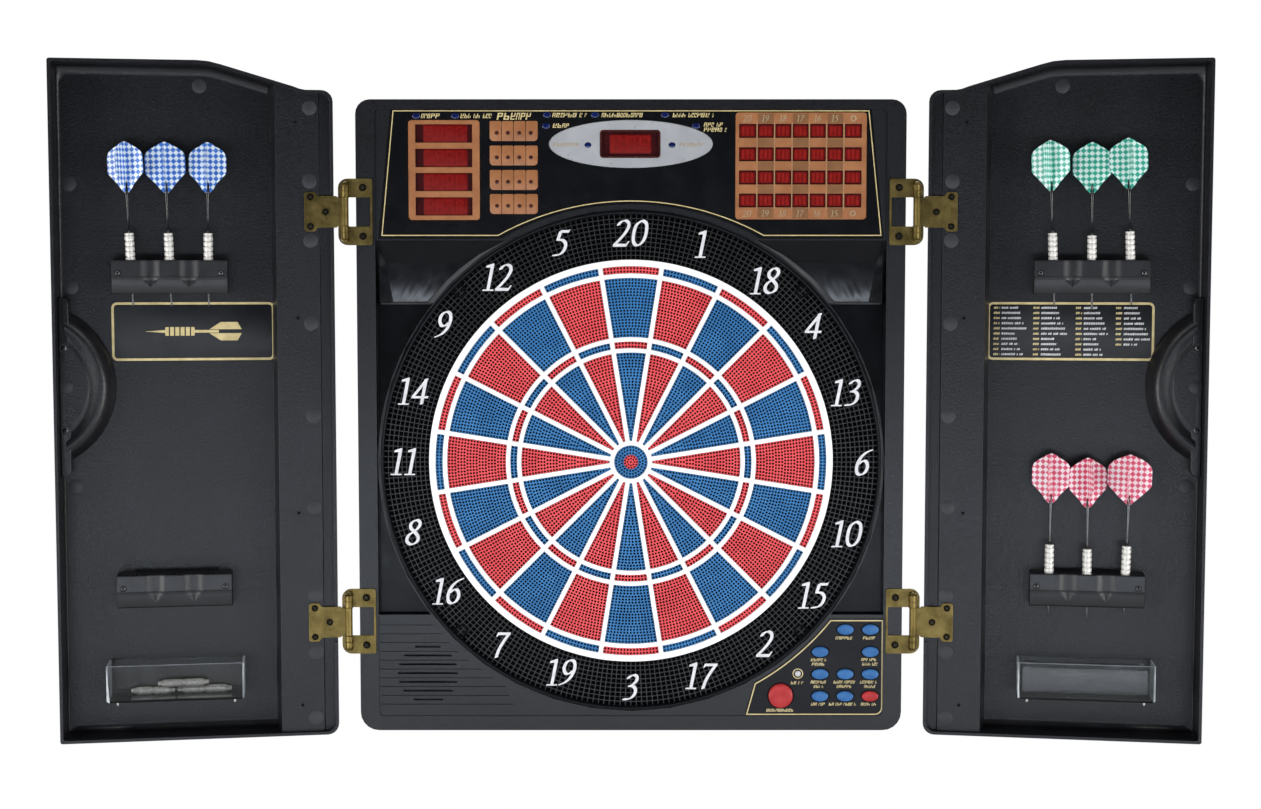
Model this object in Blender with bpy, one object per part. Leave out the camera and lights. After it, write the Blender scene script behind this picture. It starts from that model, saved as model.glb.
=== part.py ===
"""Soft-tip electronic dartboard in a two-door cabinet.

Metres, +Z up.  The cabinet hangs on a wall in the plane y = 0 and faces -Y.  The origin is
the centre of the target, projected on the wall.  Each door is built closed, relative to its
own hinge pin, and then swung to OPEN_ANGLE by the empty that stands on the pin.
"""
import math

import bmesh
import bpy

MM = 0.001

# ---- cabinet body (mm; "depth" is the distance in front of the wall) ----
BODY_HALF = 265.5
BODY_TOP = 351.0
BODY_BOTTOM = -264.5
BODY_DEPTH = 55.0
SPLIT_DEPTH = 27.5
CORNER_TOP = 14.0
CORNER_BOTTOM = 18.0
WALL = 2.8
GAP = 0.3

# ---- front face ----
INNER_HALF = 247.2
INNER_TOP = 342.3
INNER_BOTTOM = -250.4
FACE_DEPTH = 53.5
RECESS_DEPTH = 43.0
POCKET_DEPTH = 30.5
LEDGE_Z = 155.0
PANEL_BOTTOM = 217.6
LOWER_TOP = -150.0
OPENING_R = 245.7
COLLAR_R = 246.7

# ---- target ----
SECTORS = 20
STEPS = 2
WEB = 4.4
PLAY = 0.35
RIM_R = 245.2
RIM_INNER_R = 241.0
WHITE_R = 197.1
DOUBLE = (183.9, 190.8)
OUTER_SINGLE = (122.1, 179.4)
TRIPLE = (111.3, 117.7)
INNER_SINGLE = (20.8, 107.0)
BULL_R = 16.3
INNER_BULL_R = 6.9
SPIDER_BACK = 41.0
SPIDER_FRONT = 51.0
SEGMENT_BACK = 38.2
SEGMENT_FRONT = 50.2

# ---- hinges ----
PIN_X = 275.6
PIN_DEPTH = 59.5
PIN_R = 2.0
PIN_BORE_R = 2.35
KNUCKLE_R = 3.6
HINGE_Z = (243.0, -156.0)
HINGE_NAMES = ("upper", "lower")
LEAF_THICK = 1.5
OPEN_ANGLE = 171.0

# ---- doors ("along" runs from the hinge edge to the free edge) ----
DOOR_EDGE = 265.1
DOOR_WIDTH = 264.3
DOOR_RIM = 55.8
DOOR_DEPTH = 42.0
DOOR_SKIN = 3.0
DOOR_BOTTOM = -266.2
DOOR_TOP = 385.3
DOOR_TOP_HINGE = 358.8
BAND_WIDTH = 55.0
BAND_FLOOR = 61.8
BAND_OUTER = 67.0
FLOOR_DEPTH = DOOR_RIM + DOOR_DEPTH - DOOR_SKIN

# ---- dart racks, darts and bins ----
RACK_CENTRE = 156.0
RACK_WIDTH = 109.0
RACK_HEIGHT = 32.4
RACK_TOPS = (("upper", 196.6), ("lower", -107.0))
DART_PITCH = 36.2
DART_STAND = 20.0
SOCKET_R = 4.7
BARREL_R = 4.2
DART_LENGTH = 157.3
TIP_BELOW_RACK = 12.6
FLIGHT_WIDTH = 35.2
FLIGHT_HEIGHT = 47.4
BIN_CENTRE = 156.0
BIN_WIDTH = 130.0
BIN_TOP = -193.0
BIN_BOTTOM = -229.0
BIN_STAND = 34.0

# ---- handle cup ----
CUP_Z = 75.0
CUP_HALF = 73.0
CUP_REACH = 46.0
CUP_STAND = 18.0
CUP_FLANGE_HALF = 86.0

# ---- buttons ----
BUTTON_COLUMNS = (185.8, 210.5, 235.0)
BUTTON_ROWS = (-164.7, -186.8, -208.9, -230.9)
BUTTON_HALF = (8.2, 5.1)
BUTTON_PROUD = 56.0
BUTTON_BACK = 48.5
START_AT = (147.1, -230.4)
START_R = 12.0
RESET_AT = (164.0, -208.5)
RESET_R = 2.9

materials = {}


def clear_scene():
    for obj in list(bpy.data.objects):
        bpy.data.objects.remove(obj, do_unlink=True)


def material(name, colour, roughness=0.5, metallic=0.0, alpha=1.0):
    """Principled material of one sub-part."""
    mat = bpy.data.materials.new(name)
    mat.use_nodes = True
    shader = mat.node_tree.nodes["Principled BSDF"]
    shader.inputs["Base Color"].default_value = (colour[0], colour[1], colour[2], 1.0)
    shader.inputs["Roughness"].default_value = roughness
    shader.inputs["Metallic"].default_value = metallic
    shader.inputs["Alpha"].default_value = alpha
    mat.diffuse_color = (colour[0], colour[1], colour[2], 1.0)
    return mat


# ---------------------------------------------------------------- outlines (x, z in mm)
def arc(cx, cz, radius, start, end, steps):
    """Points on an arc, both ends included; angles in degrees from +x."""
    points = []
    for i in range(steps + 1):
        angle = math.radians(start + (end - start) * i / steps)
        points.append((cx + radius * math.cos(angle), cz + radius * math.sin(angle)))
    return points


def circle(cx, cz, radius, steps):
    return arc(cx, cz, radius, 0.0, 360.0, steps)[:-1]


def ellipse(cx, cz, half_x, half_z, steps):
    return [(cx + x * half_x, cz + z * half_z) for x, z in circle(0.0, 0.0, 1.0, steps)]


def box_outline(x0, z0, x1, z1):
    return [(x0, z0), (x1, z0), (x1, z1), (x0, z1)]


def rounded(x0, z0, x1, z1, bottom, top, steps=5):
    """Rectangle with its own corner radius at the bottom and at the top."""
    points = arc(x0 + bottom, z0 + bottom, bottom, 180.0, 270.0, steps)
    points += arc(x1 - bottom, z0 + bottom, bottom, 270.0, 360.0, steps)
    points += arc(x1 - top, z1 - top, top, 0.0, 90.0, steps)
    points += arc(x0 + top, z1 - top, top, 90.0, 180.0, steps)
    return points


def body_outline(inset):
    return rounded(-BODY_HALF + inset, BODY_BOTTOM + inset, BODY_HALF - inset, BODY_TOP - inset,
                   CORNER_BOTTOM - inset * 0.6, CORNER_TOP - inset * 0.6)


def angle_at_height(radius, z):
    return math.degrees(math.asin(z / radius))


def display_outline(grow):
    """Top panel: sloping ends, and an arc over the target."""
    radius = 251.0 - grow
    bottom = PANEL_BOTTOM - grow
    start = angle_at_height(radius, bottom)
    top = 341.0 + grow
    points = [(-231.6 - grow, top), (-244.4 - grow, bottom)]
    points += arc(0.0, 0.0, radius, 180.0 - start, start, 16)
    points += [(244.4 + grow, bottom), (231.6 + grow, top)]
    return points


def control_outline(grow):
    """Lower right panel: straight sides, an arc beside the target, and a short slope."""
    radius = 248.9 - grow
    top = -154.2 + grow
    right = 246.6 + grow * 0.5
    bottom = -249.4 - grow * 0.5
    start = -angle_at_height(radius, -top)
    end = start - 22.6
    points = [(right, top)]
    points += arc(0.0, 0.0, radius, start, end, 8)
    points += [(112.0 - grow, bottom), (right - 4.0, bottom), (right, bottom + 4.0)]
    return points


def lower_left_outline(inset):
    """Area of the speaker grille, mirrored from the control panel."""
    radius = 249.5 + inset
    top = LOWER_TOP - 2.0 - inset
    left = -INNER_HALF + 1.0 + inset
    bottom = INNER_BOTTOM + 1.0 + inset
    start = -180.0 + angle_at_height(radius, -top)
    points = [(left, top), (left, bottom), (-112.0 - inset, bottom)]
    points += arc(0.0, 0.0, radius, start + 22.6, start, 8)
    return points


def side_recess_outline(side):
    """Strip between the frame and the target ring."""
    top = angle_at_height(COLLAR_R, LEDGE_Z)
    bottom = angle_at_height(COLLAR_R, LOWER_TOP)
    points = [(INNER_HALF, LEDGE_Z)]
    points += arc(0.0, 0.0, COLLAR_R, top, bottom, 16)
    points += [(INNER_HALF, LOWER_TOP)]
    return [(side * x, z) for x, z in points]


def cell_outline(radii, sector, play):
    """One scoring cell: two arcs and two straight sides parallel to the radial wires."""
    inner = radii[0] + play
    outer = radii[1] - play
    centre = 90.0 - sector * 360.0 / SECTORS
    half = 180.0 / SECTORS
    cut_in = half - math.degrees(math.asin((WEB / 2 + play) / inner))
    cut_out = half - math.degrees(math.asin((WEB / 2 + play) / outer))
    points = arc(0.0, 0.0, outer, centre - cut_out, centre + cut_out, STEPS)
    points += arc(0.0, 0.0, inner, centre + cut_in, centre - cut_in, STEPS)
    return points


def door_outline(inset):
    """Door seen from the front as (along, z): square free side, gabled and rounded hinge side."""
    low = DOOR_BOTTOM + inset
    high = DOOR_TOP - inset
    shoulder = DOOR_TOP_HINGE - inset
    near = inset
    far = DOOR_WIDTH - inset
    radius = 11.0 - inset * 0.7
    points = arc(near + radius, low + radius, radius, 180.0, 270.0, 5)
    points += arc(far - 2.0, low + 2.0, 2.0, 270.0, 360.0, 2)
    points += arc(far - 2.0, high - 2.0, 2.0, 0.0, 90.0, 2)
    points += [(127.0, high), (116.0, high - 0.9), (105.0, high - 3.6)]
    points += [(38.0, shoulder + 3.4), (31.0, shoulder + 0.9), (26.0, shoulder)]
    points += arc(near + radius, shoulder - radius, radius, 90.0, 180.0, 5)
    return points


# ---------------------------------------------------------------- mesh builders
def finish_mesh(name, bm):
    bmesh.ops.recalc_face_normals(bm, faces=bm.faces)
    mesh = bpy.data.meshes.new(name)
    bm.to_mesh(mesh)
    bm.free()
    return mesh


def sweep_into(bm, outline, near, far, place):
    """Add one closed prism; `place` turns (x, z, depth) in mm into a point in metres."""
    back = [bm.verts.new(place(x, z, near)) for x, z in outline]
    front = [bm.verts.new(place(x, z, far)) for x, z in outline]
    bm.faces.new(back)
    bm.faces.new(front[::-1])
    count = len(outline)
    for i in range(count):
        j = (i + 1) % count
        bm.faces.new((back[i], front[i], front[j], back[j]))


def wall_place(x, z, depth):
    return (x * MM, -depth * MM, z * MM)


def door_place(side):
    """Door coordinates relative to the hinge pin, with the door closed."""
    def place(along, z, depth):
        x = side * (DOOR_EDGE - along) - side * PIN_X
        return (x * MM, -(depth - PIN_DEPTH) * MM, z * MM)
    return place


def prisms(name, sweeps, place=wall_place):
    bm = bmesh.new()
    for outline, near, far in sweeps:
        sweep_into(bm, outline, near, far, place)
    return finish_mesh(name, bm)


def tube(name, outer, inner, near, far, place=wall_place):
    """Closed ring between two outlines with the same number of points."""
    bm = bmesh.new()
    loops = []
    for outline, depth in ((outer, near), (outer, far), (inner, far), (inner, near)):
        loops.append([bm.verts.new(place(x, z, depth)) for x, z in outline])
    count = len(outer)
    for k in range(4):
        first = loops[k]
        second = loops[(k + 1) % 4]
        for i in range(count):
            j = (i + 1) % count
            bm.faces.new((first[i], second[i], second[j], first[j]))
    return finish_mesh(name, bm)


def lathe(name, profile, steps, centre=(0.0, 0.0, 0.0), axis="z"):
    """Solid of revolution; profile runs (radius, height) from axis to axis, in mm."""
    bm = bmesh.new()
    rings = []
    for radius, height in profile:
        ring = []
        for i in range(steps if radius > 1e-6 else 1):
            angle = 2.0 * math.pi * i / steps
            u = radius * math.cos(angle)
            v = radius * math.sin(angle)
            local = (u, v, height) if axis == "z" else (u, -height, v)
            ring.append(bm.verts.new([(a + b) * MM for a, b in zip(local, centre)]))
        rings.append(ring)
    for first, second in zip(rings, rings[1:]):
        for i in range(steps):
            j = (i + 1) % steps
            corners = [first[i % len(first)], first[j % len(first)],
                       second[j % len(second)], second[i % len(second)]]
            unique = list(dict.fromkeys(corners))
            bm.faces.new(unique)
    return finish_mesh(name, bm)


def profile_along_x(name, profile, x0, x1, place):
    """Prism with a (z, depth) cross-section running from x0 to x1."""
    bm = bmesh.new()
    first = [bm.verts.new(place(x0, z, depth)) for z, depth in profile]
    second = [bm.verts.new(place(x1, z, depth)) for z, depth in profile]
    bm.faces.new(first)
    bm.faces.new(second[::-1])
    for i in range(len(profile)):
        j = (i + 1) % len(profile)
        bm.faces.new((first[i], second[i], second[j], first[j]))
    return finish_mesh(name, bm)


# ---------------------------------------------------------------- objects and booleans
def add(name, mesh, mat=None, parent=None, location=(0.0, 0.0, 0.0)):
    obj = bpy.data.objects.new(name, mesh)
    bpy.context.collection.objects.link(obj)
    obj.parent = parent
    obj.location = location
    if mat is not None:
        mesh.materials.append(mat)
    return obj


def tool(name, mesh, parent=None):
    """Cutter or joiner: a hidden helper solid."""
    obj = add("cutter_" + name, mesh, None, parent)
    obj.hide_render = True
    obj.display_type = "WIRE"
    return obj


def combine(target, other, operation):
    mod = target.modifiers.new(operation.lower() + "_" + other.name, "BOOLEAN")
    mod.operation = operation
    mod.solver = "EXACT"
    mod.object = other


def cut(target, name, mesh):
    other = tool(name, mesh, target.parent)
    combine(target, other, "DIFFERENCE")
    return other


def join(target, name, mesh):
    other = tool(name, mesh, target.parent)
    combine(target, other, "UNION")
    return other


def smooth(obj):
    for polygon in obj.data.polygons:
        polygon.use_smooth = True


# ---------------------------------------------------------------- cabinet body
def keyhole(x, z):
    """Hanging hole: a round entry with a narrower slot above it."""
    points = arc(x, z, 5.0, 125.0, 415.0, 9)
    points += arc(x, z + 12.0, 2.6, 0.0, 180.0, 5)
    return points


def build_rear_housing():
    obj = add("rear_housing", prisms("rear_housing", [(body_outline(0.0), 0.0, SPLIT_DEPTH - 0.3)]),
              material("rear_housing", (0.022, 0.022, 0.024), 0.55))
    cut(obj, "rear_hollow", prisms("rear_hollow", [(body_outline(WALL), WALL, SPLIT_DEPTH + 5.0)]))
    holes = [(keyhole(x, z), -1.0, WALL + 1.0) for x, z in ((-170.0, 285.0), (170.0, 285.0), (0.0, -215.0))]
    cut(obj, "hanging_holes", prisms("hanging_holes", holes))
    inlet = lathe("inlet_hole", [(0.0, -8.0), (6.3, -8.0), (6.3, 8.0), (0.0, 8.0)], 12,
                  (190.0, -14.0, BODY_BOTTOM + 1.0))
    cut(obj, "inlet_hole", inlet)


def build_power_inlet():
    profile = [(0.0, 12.0), (5.9, 12.0), (5.9, 0.2), (7.6, 0.2), (7.6, -1.4), (3.4, -1.4), (3.4, 8.0),
               (1.1, 8.0), (1.1, 0.0), (0.0, 0.0)]
    mesh = lathe("power_inlet", profile, 12, (190.0, -14.0, BODY_BOTTOM - 0.5))
    smooth(add("power_inlet", mesh, material("power_inlet", (0.03, 0.03, 0.032), 0.4)))


def build_front_housing():
    obj = add("front_housing", prisms("front_housing", [(body_outline(0.0), SPLIT_DEPTH, BODY_DEPTH)]),
              material("front_housing", (0.028, 0.028, 0.031), 0.5))
    inner = rounded(-INNER_HALF, INNER_BOTTOM, INNER_HALF, INNER_TOP, 4.0, 4.0, 3)
    cut(obj, "inner_face", prisms("inner_face", [(inner, FACE_DEPTH, BODY_DEPTH + 5.0)]))
    opening = circle(0.0, 0.0, OPENING_R, SECTORS * STEPS)
    cut(obj, "target_opening", prisms("target_opening", [(opening, SPLIT_DEPTH - 5.0, BODY_DEPTH + 5.0)]))
    recesses = [(side_recess_outline(s), RECESS_DEPTH, BODY_DEPTH + 5.0) for s in (-1, 1)]
    cut(obj, "side_recesses", prisms("side_recesses", recesses))
    for side, label in ((-1, "left"), (1, "right")):
        profile = [(LEDGE_Z, POCKET_DEPTH), (LEDGE_Z, 60.0), (PANEL_BOTTOM - 2.0, 60.0),
                   (PANEL_BOTTOM - 2.0, FACE_DEPTH - 1.0)]
        pocket = cut(obj, "pocket_" + label, profile_along_x("pocket", profile, side * INNER_HALF,
                                                             side * 100.0, wall_place))
        cone = lathe("pocket_collar", [(0.0, 25.0), (260.5, 25.0), (246.4, 56.0), (244.6, 65.0), (0.0, 65.0)],
                     SECTORS * STEPS, axis="y")
        combine(pocket, tool("pocket_collar_" + label, cone), "DIFFERENCE")
    cut(obj, "display_seat", prisms("display_seat", [(display_outline(GAP), FACE_DEPTH - 2.3, 60.0)]))
    cut(obj, "control_seat", prisms("control_seat", [(control_outline(GAP), FACE_DEPTH - 2.3, 60.0)]))
    back = [(display_outline(-4.0), SPLIT_DEPTH - 5.0, 48.6), (control_outline(-4.0), SPLIT_DEPTH - 5.0, 48.6),
            (lower_left_outline(3.0), SPLIT_DEPTH - 5.0, 50.0)]
    cut(obj, "back_hollows", prisms("back_hollows", back))
    channel_in = rounded(-INNER_HALF - 3.0, INNER_BOTTOM - 3.0, INNER_HALF + 3.0, INNER_TOP + 3.0, 5.0, 5.0)
    cut(obj, "border_channel", tube("border_channel", body_outline(2.6), channel_in, SPLIT_DEPTH - 5.0, 52.4))
    windows = [(rounded(*display_box(name, 0.5), 3.0, 3.0), 46.0, 58.0) for name in ("score", "cricket")]
    windows.append((ellipse(0.0, CENTRE_Z, 79.5, 23.4, 40), 46.0, 58.0))
    cut(obj, "display_windows", prisms("display_windows", windows))
    cut(obj, "button_wells", prisms("button_wells", [(outline, 46.0, 58.0) for outline in button_outlines(0.8)]))
    cut(obj, "grille_grooves", prisms("grille_grooves", grille_grooves()))
    cut(obj, "speaker_slots", prisms("speaker_slots", speaker_slots()))


GRILLE_PITCH = 8.75
GRILLE_TOP = -159.8
SPEAKER_AT = (-199.3, -208.4)
SPEAKER_R = 29.5


def arc_limit(z, radius):
    return -math.sqrt(radius * radius - z * z)


def grille_grooves():
    """Horizontal grooves from the frame to the target ring."""
    sweeps = []
    for i in range(10):
        z = GRILLE_TOP - GRILLE_PITCH * i
        right = arc_limit(z, 251.5) if z > -216.0 else -125.0 + (-216.0 - z) * 0.4
        sweeps.append((box_outline(-INNER_HALF + 2.2, z - 0.7, right, z + 0.7), FACE_DEPTH - 1.4, 60.0))
    return sweeps


def speaker_slots():
    """Sound slots midway between the grooves, their ends on a circle."""
    sweeps = []
    for i in range(7):
        z = GRILLE_TOP - GRILLE_PITCH * (i + 2.5)
        reach = SPEAKER_R * SPEAKER_R - (z - SPEAKER_AT[1]) ** 2
        half = math.sqrt(max(reach, 100.0))
        sweeps.append((box_outline(SPEAKER_AT[0] - half, z - 1.0, SPEAKER_AT[0] + half, z + 1.0), 45.0, 60.0))
    return sweeps


# ---------------------------------------------------------------- displays and panels
CENTRE_Z = 308.3
DISPLAY_BOXES = {"score": (-214.7, 235.3, -145.9, 331.2), "cricket": (100.8, 235.9, 227.3, 338.5)}


def display_box(name, grow):
    x0, z0, x1, z1 = DISPLAY_BOXES[name]
    return (x0 - grow, z0 - grow, x1 + grow, z1 + grow)


def build_display_panel():
    obj = add("display_panel", prisms("display_panel", [(display_outline(0.0), FACE_DEPTH - 2.0, FACE_DEPTH)]),
              material("display_panel", (0.03, 0.03, 0.033), 0.35))
    windows = [(rounded(*display_box(name, GAP), 3.0, 3.0), 46.0, 58.0) for name in ("score", "cricket")]
    windows.append((ellipse(0.0, CENTRE_Z, 79.0 + GAP, 22.9 + GAP, 40), 46.0, 58.0))
    cut(obj, "panel_windows", prisms("panel_windows", windows))


def build_displays():
    tan = material("score_display", (0.42, 0.17, 0.055), 0.35)
    score = add("score_display", prisms("score_display", [(rounded(*display_box("score", 0.0), 3.0, 3.0), 47.0, 54.2)]),
                tan)
    x0, z0, x1, z1 = DISPLAY_BOXES["score"]
    rows = [(box_outline(x0 + 7.5, z1 - 21.0 - 23.4 * i, x1 - 7.5, z1 - 4.7 - 23.4 * i), 53.6, 60.0) for i in range(4)]
    cut(score, "score_windows", prisms("score_windows", rows))
    amber = material("cricket_display", (0.42, 0.17, 0.055), 0.35)
    outline = rounded(*display_box("cricket", 0.0), 3.0, 3.0)
    cricket = add("cricket_display", prisms("cricket_display", [(outline, 47.0, 54.2)]), amber)
    x0, z0, x1, z1 = DISPLAY_BOXES["cricket"]
    cells = []
    for column in range(7):
        for row in range(4):
            left = x0 + 3.3 + 17.15 * column
            top = z1 - 11.2 - 22.3 * row
            cells.append((box_outline(left, top - 13.0, left + 16.3, top), 53.6, 60.0))
    cut(cricket, "cricket_windows", prisms("cricket_windows", cells))
    centre = add("centre_display", prisms("centre_display", [(ellipse(0.0, CENTRE_Z, 79.0, 22.9, 40), 47.0, 54.4)]),
                 material("centre_display", (0.5, 0.5, 0.48), 0.35))
    cut(centre, "centre_window", prisms("centre_window", [(box_outline(-28.0, 296.6, 27.0, 320.1), 53.6, 60.0)]))


def button_outlines(grow):
    """Outlines of the twelve buttons: two on row one, two on row two, three on rows three and four."""
    outlines = []
    for x, z in button_places():
        outlines.append(ellipse(x, z, BUTTON_HALF[0] + grow, BUTTON_HALF[1] + grow, 14))
    outlines.append(circle(START_AT[0], START_AT[1], START_R + grow, 20))
    outlines.append(circle(RESET_AT[0], RESET_AT[1], RESET_R + grow, 10))
    return outlines


def button_places():
    """Oval buttons; the first row starts one column in, and the second row skips the middle."""
    columns = ((1, 2), (0, 2), (0, 1, 2), (0, 1, 2))
    return [(BUTTON_COLUMNS[c], BUTTON_ROWS[r]) for r in range(4) for c in columns[r]]


BUTTON_NAMES = ("select_button", "game_button", "player_button", "match_button", "bounce_out_button",
                "dart_out_button", "double_button", "sound_button", "guard_button", "power_button")


def build_control_panel():
    mesh = prisms("control_panel", [(control_outline(0.0), FACE_DEPTH - 2.0, FACE_DEPTH)])
    obj = add("control_panel", mesh, material("control_panel", (0.03, 0.03, 0.033), 0.35))
    cut(obj, "button_holes", prisms("button_holes", [(o, 46.0, 58.0) for o in button_outlines(GAP)]))


def dome(name, x, z, half_x, half_z, proud, mat, steps):
    """Button: a straight stem with a domed cap, its origin on the button's own axis."""
    bm = bmesh.new()
    rings = []
    levels = ((1.0, BUTTON_BACK), (1.0, FACE_DEPTH + 0.6), (0.8, proud - 0.45))
    for scale, depth in levels:
        ring = [bm.verts.new((px * scale * MM, -(depth - FACE_DEPTH) * MM, pz * scale * MM))
                for px, pz in ellipse(0.0, 0.0, half_x, half_z, steps)]
        rings.append(ring)
    bm.faces.new(rings[0])
    for first, second in zip(rings, rings[1:]):
        for i in range(steps):
            j = (i + 1) % steps
            bm.faces.new((first[i], first[j], second[j], second[i]))
    tip = bm.verts.new((0.0, -(proud - FACE_DEPTH) * MM, 0.0))
    last = rings[-1]
    for i in range(steps):
        bm.faces.new((last[i], last[(i + 1) % steps], tip))
    obj = add(name, finish_mesh(name, bm), mat, None, (x * MM, -FACE_DEPTH * MM, z * MM))
    smooth(obj)


def build_buttons():
    for name, (x, z) in zip(BUTTON_NAMES, button_places()):
        colour = (0.62, 0.03, 0.04) if name == "power_button" else (0.05, 0.20, 0.52)
        dome(name, x, z, BUTTON_HALF[0], BUTTON_HALF[1], BUTTON_PROUD, material(name, colour, 0.3), 14)
    dome("start_button", START_AT[0], START_AT[1], START_R, START_R, BUTTON_PROUD + 1.0,
         material("start_button", (0.62, 0.03, 0.04), 0.3), 20)
    dome("reset_button", RESET_AT[0], RESET_AT[1], RESET_R, RESET_R, FACE_DEPTH + 1.4,
         material("reset_button", (0.25, 0.24, 0.23), 0.4), 10)


# ---------------------------------------------------------------- electronics
def build_electronics():
    green = material("main_circuit_board", (0.02, 0.14, 0.06), 0.5)
    board = add("main_circuit_board", prisms("main_circuit_board", [(box_outline(-95.0, -60.0, 95.0, 60.0), 14.0, 15.6)]),
                green)
    chips = [(box_outline(-20.0, -14.0, 8.0, 14.0), 15.0, 18.4), (box_outline(40.0, 10.0, 62.0, 22.0), 15.0, 18.0),
             (box_outline(-80.0, -50.0, -60.0, 50.0), 15.0, 23.0)]
    join(board, "board_parts", prisms("board_parts", chips))
    strip = add("display_circuit_board", prisms("display_circuit_board",
                                                [(rounded(-222.0, 256.0, 222.0, 330.0, 2.0, 2.0), 44.0, 45.6)]),
                material("display_circuit_board", (0.02, 0.14, 0.06), 0.5))
    chips = [(box_outline(-205.0, 262.0, -155.0, 325.0), 45.0, 46.6), (box_outline(110.0, 262.0, 215.0, 325.0), 45.0, 46.6)]
    join(strip, "display_parts", prisms("display_parts", chips))
    profile = [(0.0, 29.0), (15.0, 29.0), (15.0, 36.0), (18.0, 38.0), (SPEAKER_R - 1.0, 46.0), (SPEAKER_R, 46.0),
               (SPEAKER_R, 48.4), (SPEAKER_R - 3.0, 48.4), (9.0, 42.0), (0.0, 42.8)]
    mesh = lathe("speaker", profile, 18, (SPEAKER_AT[0], 0.0, SPEAKER_AT[1]), "y")
    smooth(add("speaker", mesh, material("speaker", (0.05, 0.05, 0.055), 0.6)))


# ---------------------------------------------------------------- target
def build_number_ring():
    steps = SECTORS * STEPS
    obj = add("number_ring", tube("number_ring", circle(0.0, 0.0, RIM_R, steps), circle(0.0, 0.0, 197.8, steps),
                                  40.0, 50.6),
              material("number_ring", (0.012, 0.012, 0.013), 0.45))
    rim = tube("ring_rim", circle(0.0, 0.0, RIM_R, steps), circle(0.0, 0.0, RIM_INNER_R, steps), 45.0, 54.8)
    join(obj, "ring_rim", rim)

def build_spider():
    steps = SECTORS * STEPS
    obj = add("target_spider", prisms("target_spider", [(circle(0.0, 0.0, WHITE_R, steps), SPIDER_BACK, SPIDER_FRONT)]),
              material("target_spider", (0.85, 0.84, 0.80), 0.4))
    cells = []
    for radii in (DOUBLE, OUTER_SINGLE, TRIPLE, INNER_SINGLE):
        for sector in range(SECTORS):
            cells.append((cell_outline(radii, sector, 0.0), SPIDER_BACK - 2.0, SPIDER_FRONT + 2.0))
    cells.append((circle(0.0, 0.0, BULL_R, 20), SPIDER_BACK - 2.0, SPIDER_FRONT + 2.0))
    cut(obj, "spider_cells", prisms("spider_cells", cells))


def build_segment_set(name, radii, web_radii, colour):
    """Twenty keys on one rear carrier ring, which stays behind the spider."""
    steps = SECTORS * STEPS
    carrier = tube(name, circle(0.0, 0.0, web_radii[1], steps), circle(0.0, 0.0, web_radii[0], steps),
                   SEGMENT_BACK, SEGMENT_BACK + 1.8)
    obj = add(name, carrier, material(name, colour, 0.4))
    keys = [(cell_outline(radii, sector, PLAY), SEGMENT_BACK + 0.6, SEGMENT_FRONT) for sector in range(SECTORS)]
    join(obj, name + "_keys", prisms(name + "_keys", keys))


def build_target():
    build_number_ring()
    build_spider()
    red = (0.72, 0.10, 0.11)
    blue = (0.05, 0.18, 0.42)
    build_segment_set("double_segments", DOUBLE, (185.4, 189.0), red)
    build_segment_set("outer_single_segments", OUTER_SINGLE, (148.0, 153.0), blue)
    build_segment_set("triple_segments", TRIPLE, (113.2, 116.0), red)
    build_segment_set("inner_single_segments", INNER_SINGLE, (58.0, 63.0), blue)
    add("outer_bull", tube("outer_bull", circle(0.0, 0.0, BULL_R - PLAY, 20), circle(0.0, 0.0, INNER_BULL_R + PLAY, 20),
                           SEGMENT_BACK, SEGMENT_FRONT), material("outer_bull", blue, 0.4))
    add("inner_bull", prisms("inner_bull", [(circle(0.0, 0.0, INNER_BULL_R, 20), SEGMENT_BACK, SEGMENT_FRONT)]),
        material("inner_bull", red, 0.4))
    add("rubber_mat", prisms("rubber_mat", [(circle(0.0, 0.0, 196.0, 40), 34.4, 36.6)]),
        material("rubber_mat", (0.03, 0.03, 0.03), 0.85))
    add("sensor_membrane", prisms("sensor_membrane", [(circle(0.0, 0.0, 196.0, 40), 33.5, 34.0)]),
        material("sensor_membrane", (0.55, 0.50, 0.30), 0.3))


# ---------------------------------------------------------------- hinges
def leaf_place(side, hinge_z):
    """Hinge coordinates relative to the pin: x towards the cabinet's middle, z about the hinge."""
    def place(x, z, depth):
        return (-side * (x - 0.0) * MM, -(depth - PIN_DEPTH) * MM, (z + hinge_z) * MM)
    return place


def pin_lathe(name, radius, z0, z1, hinge_z, steps=12):
    return lathe(name, [(0.0, z0 + hinge_z), (radius, z0 + hinge_z), (radius, z1 + hinge_z), (0.0, z1 + hinge_z)], steps)


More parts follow.
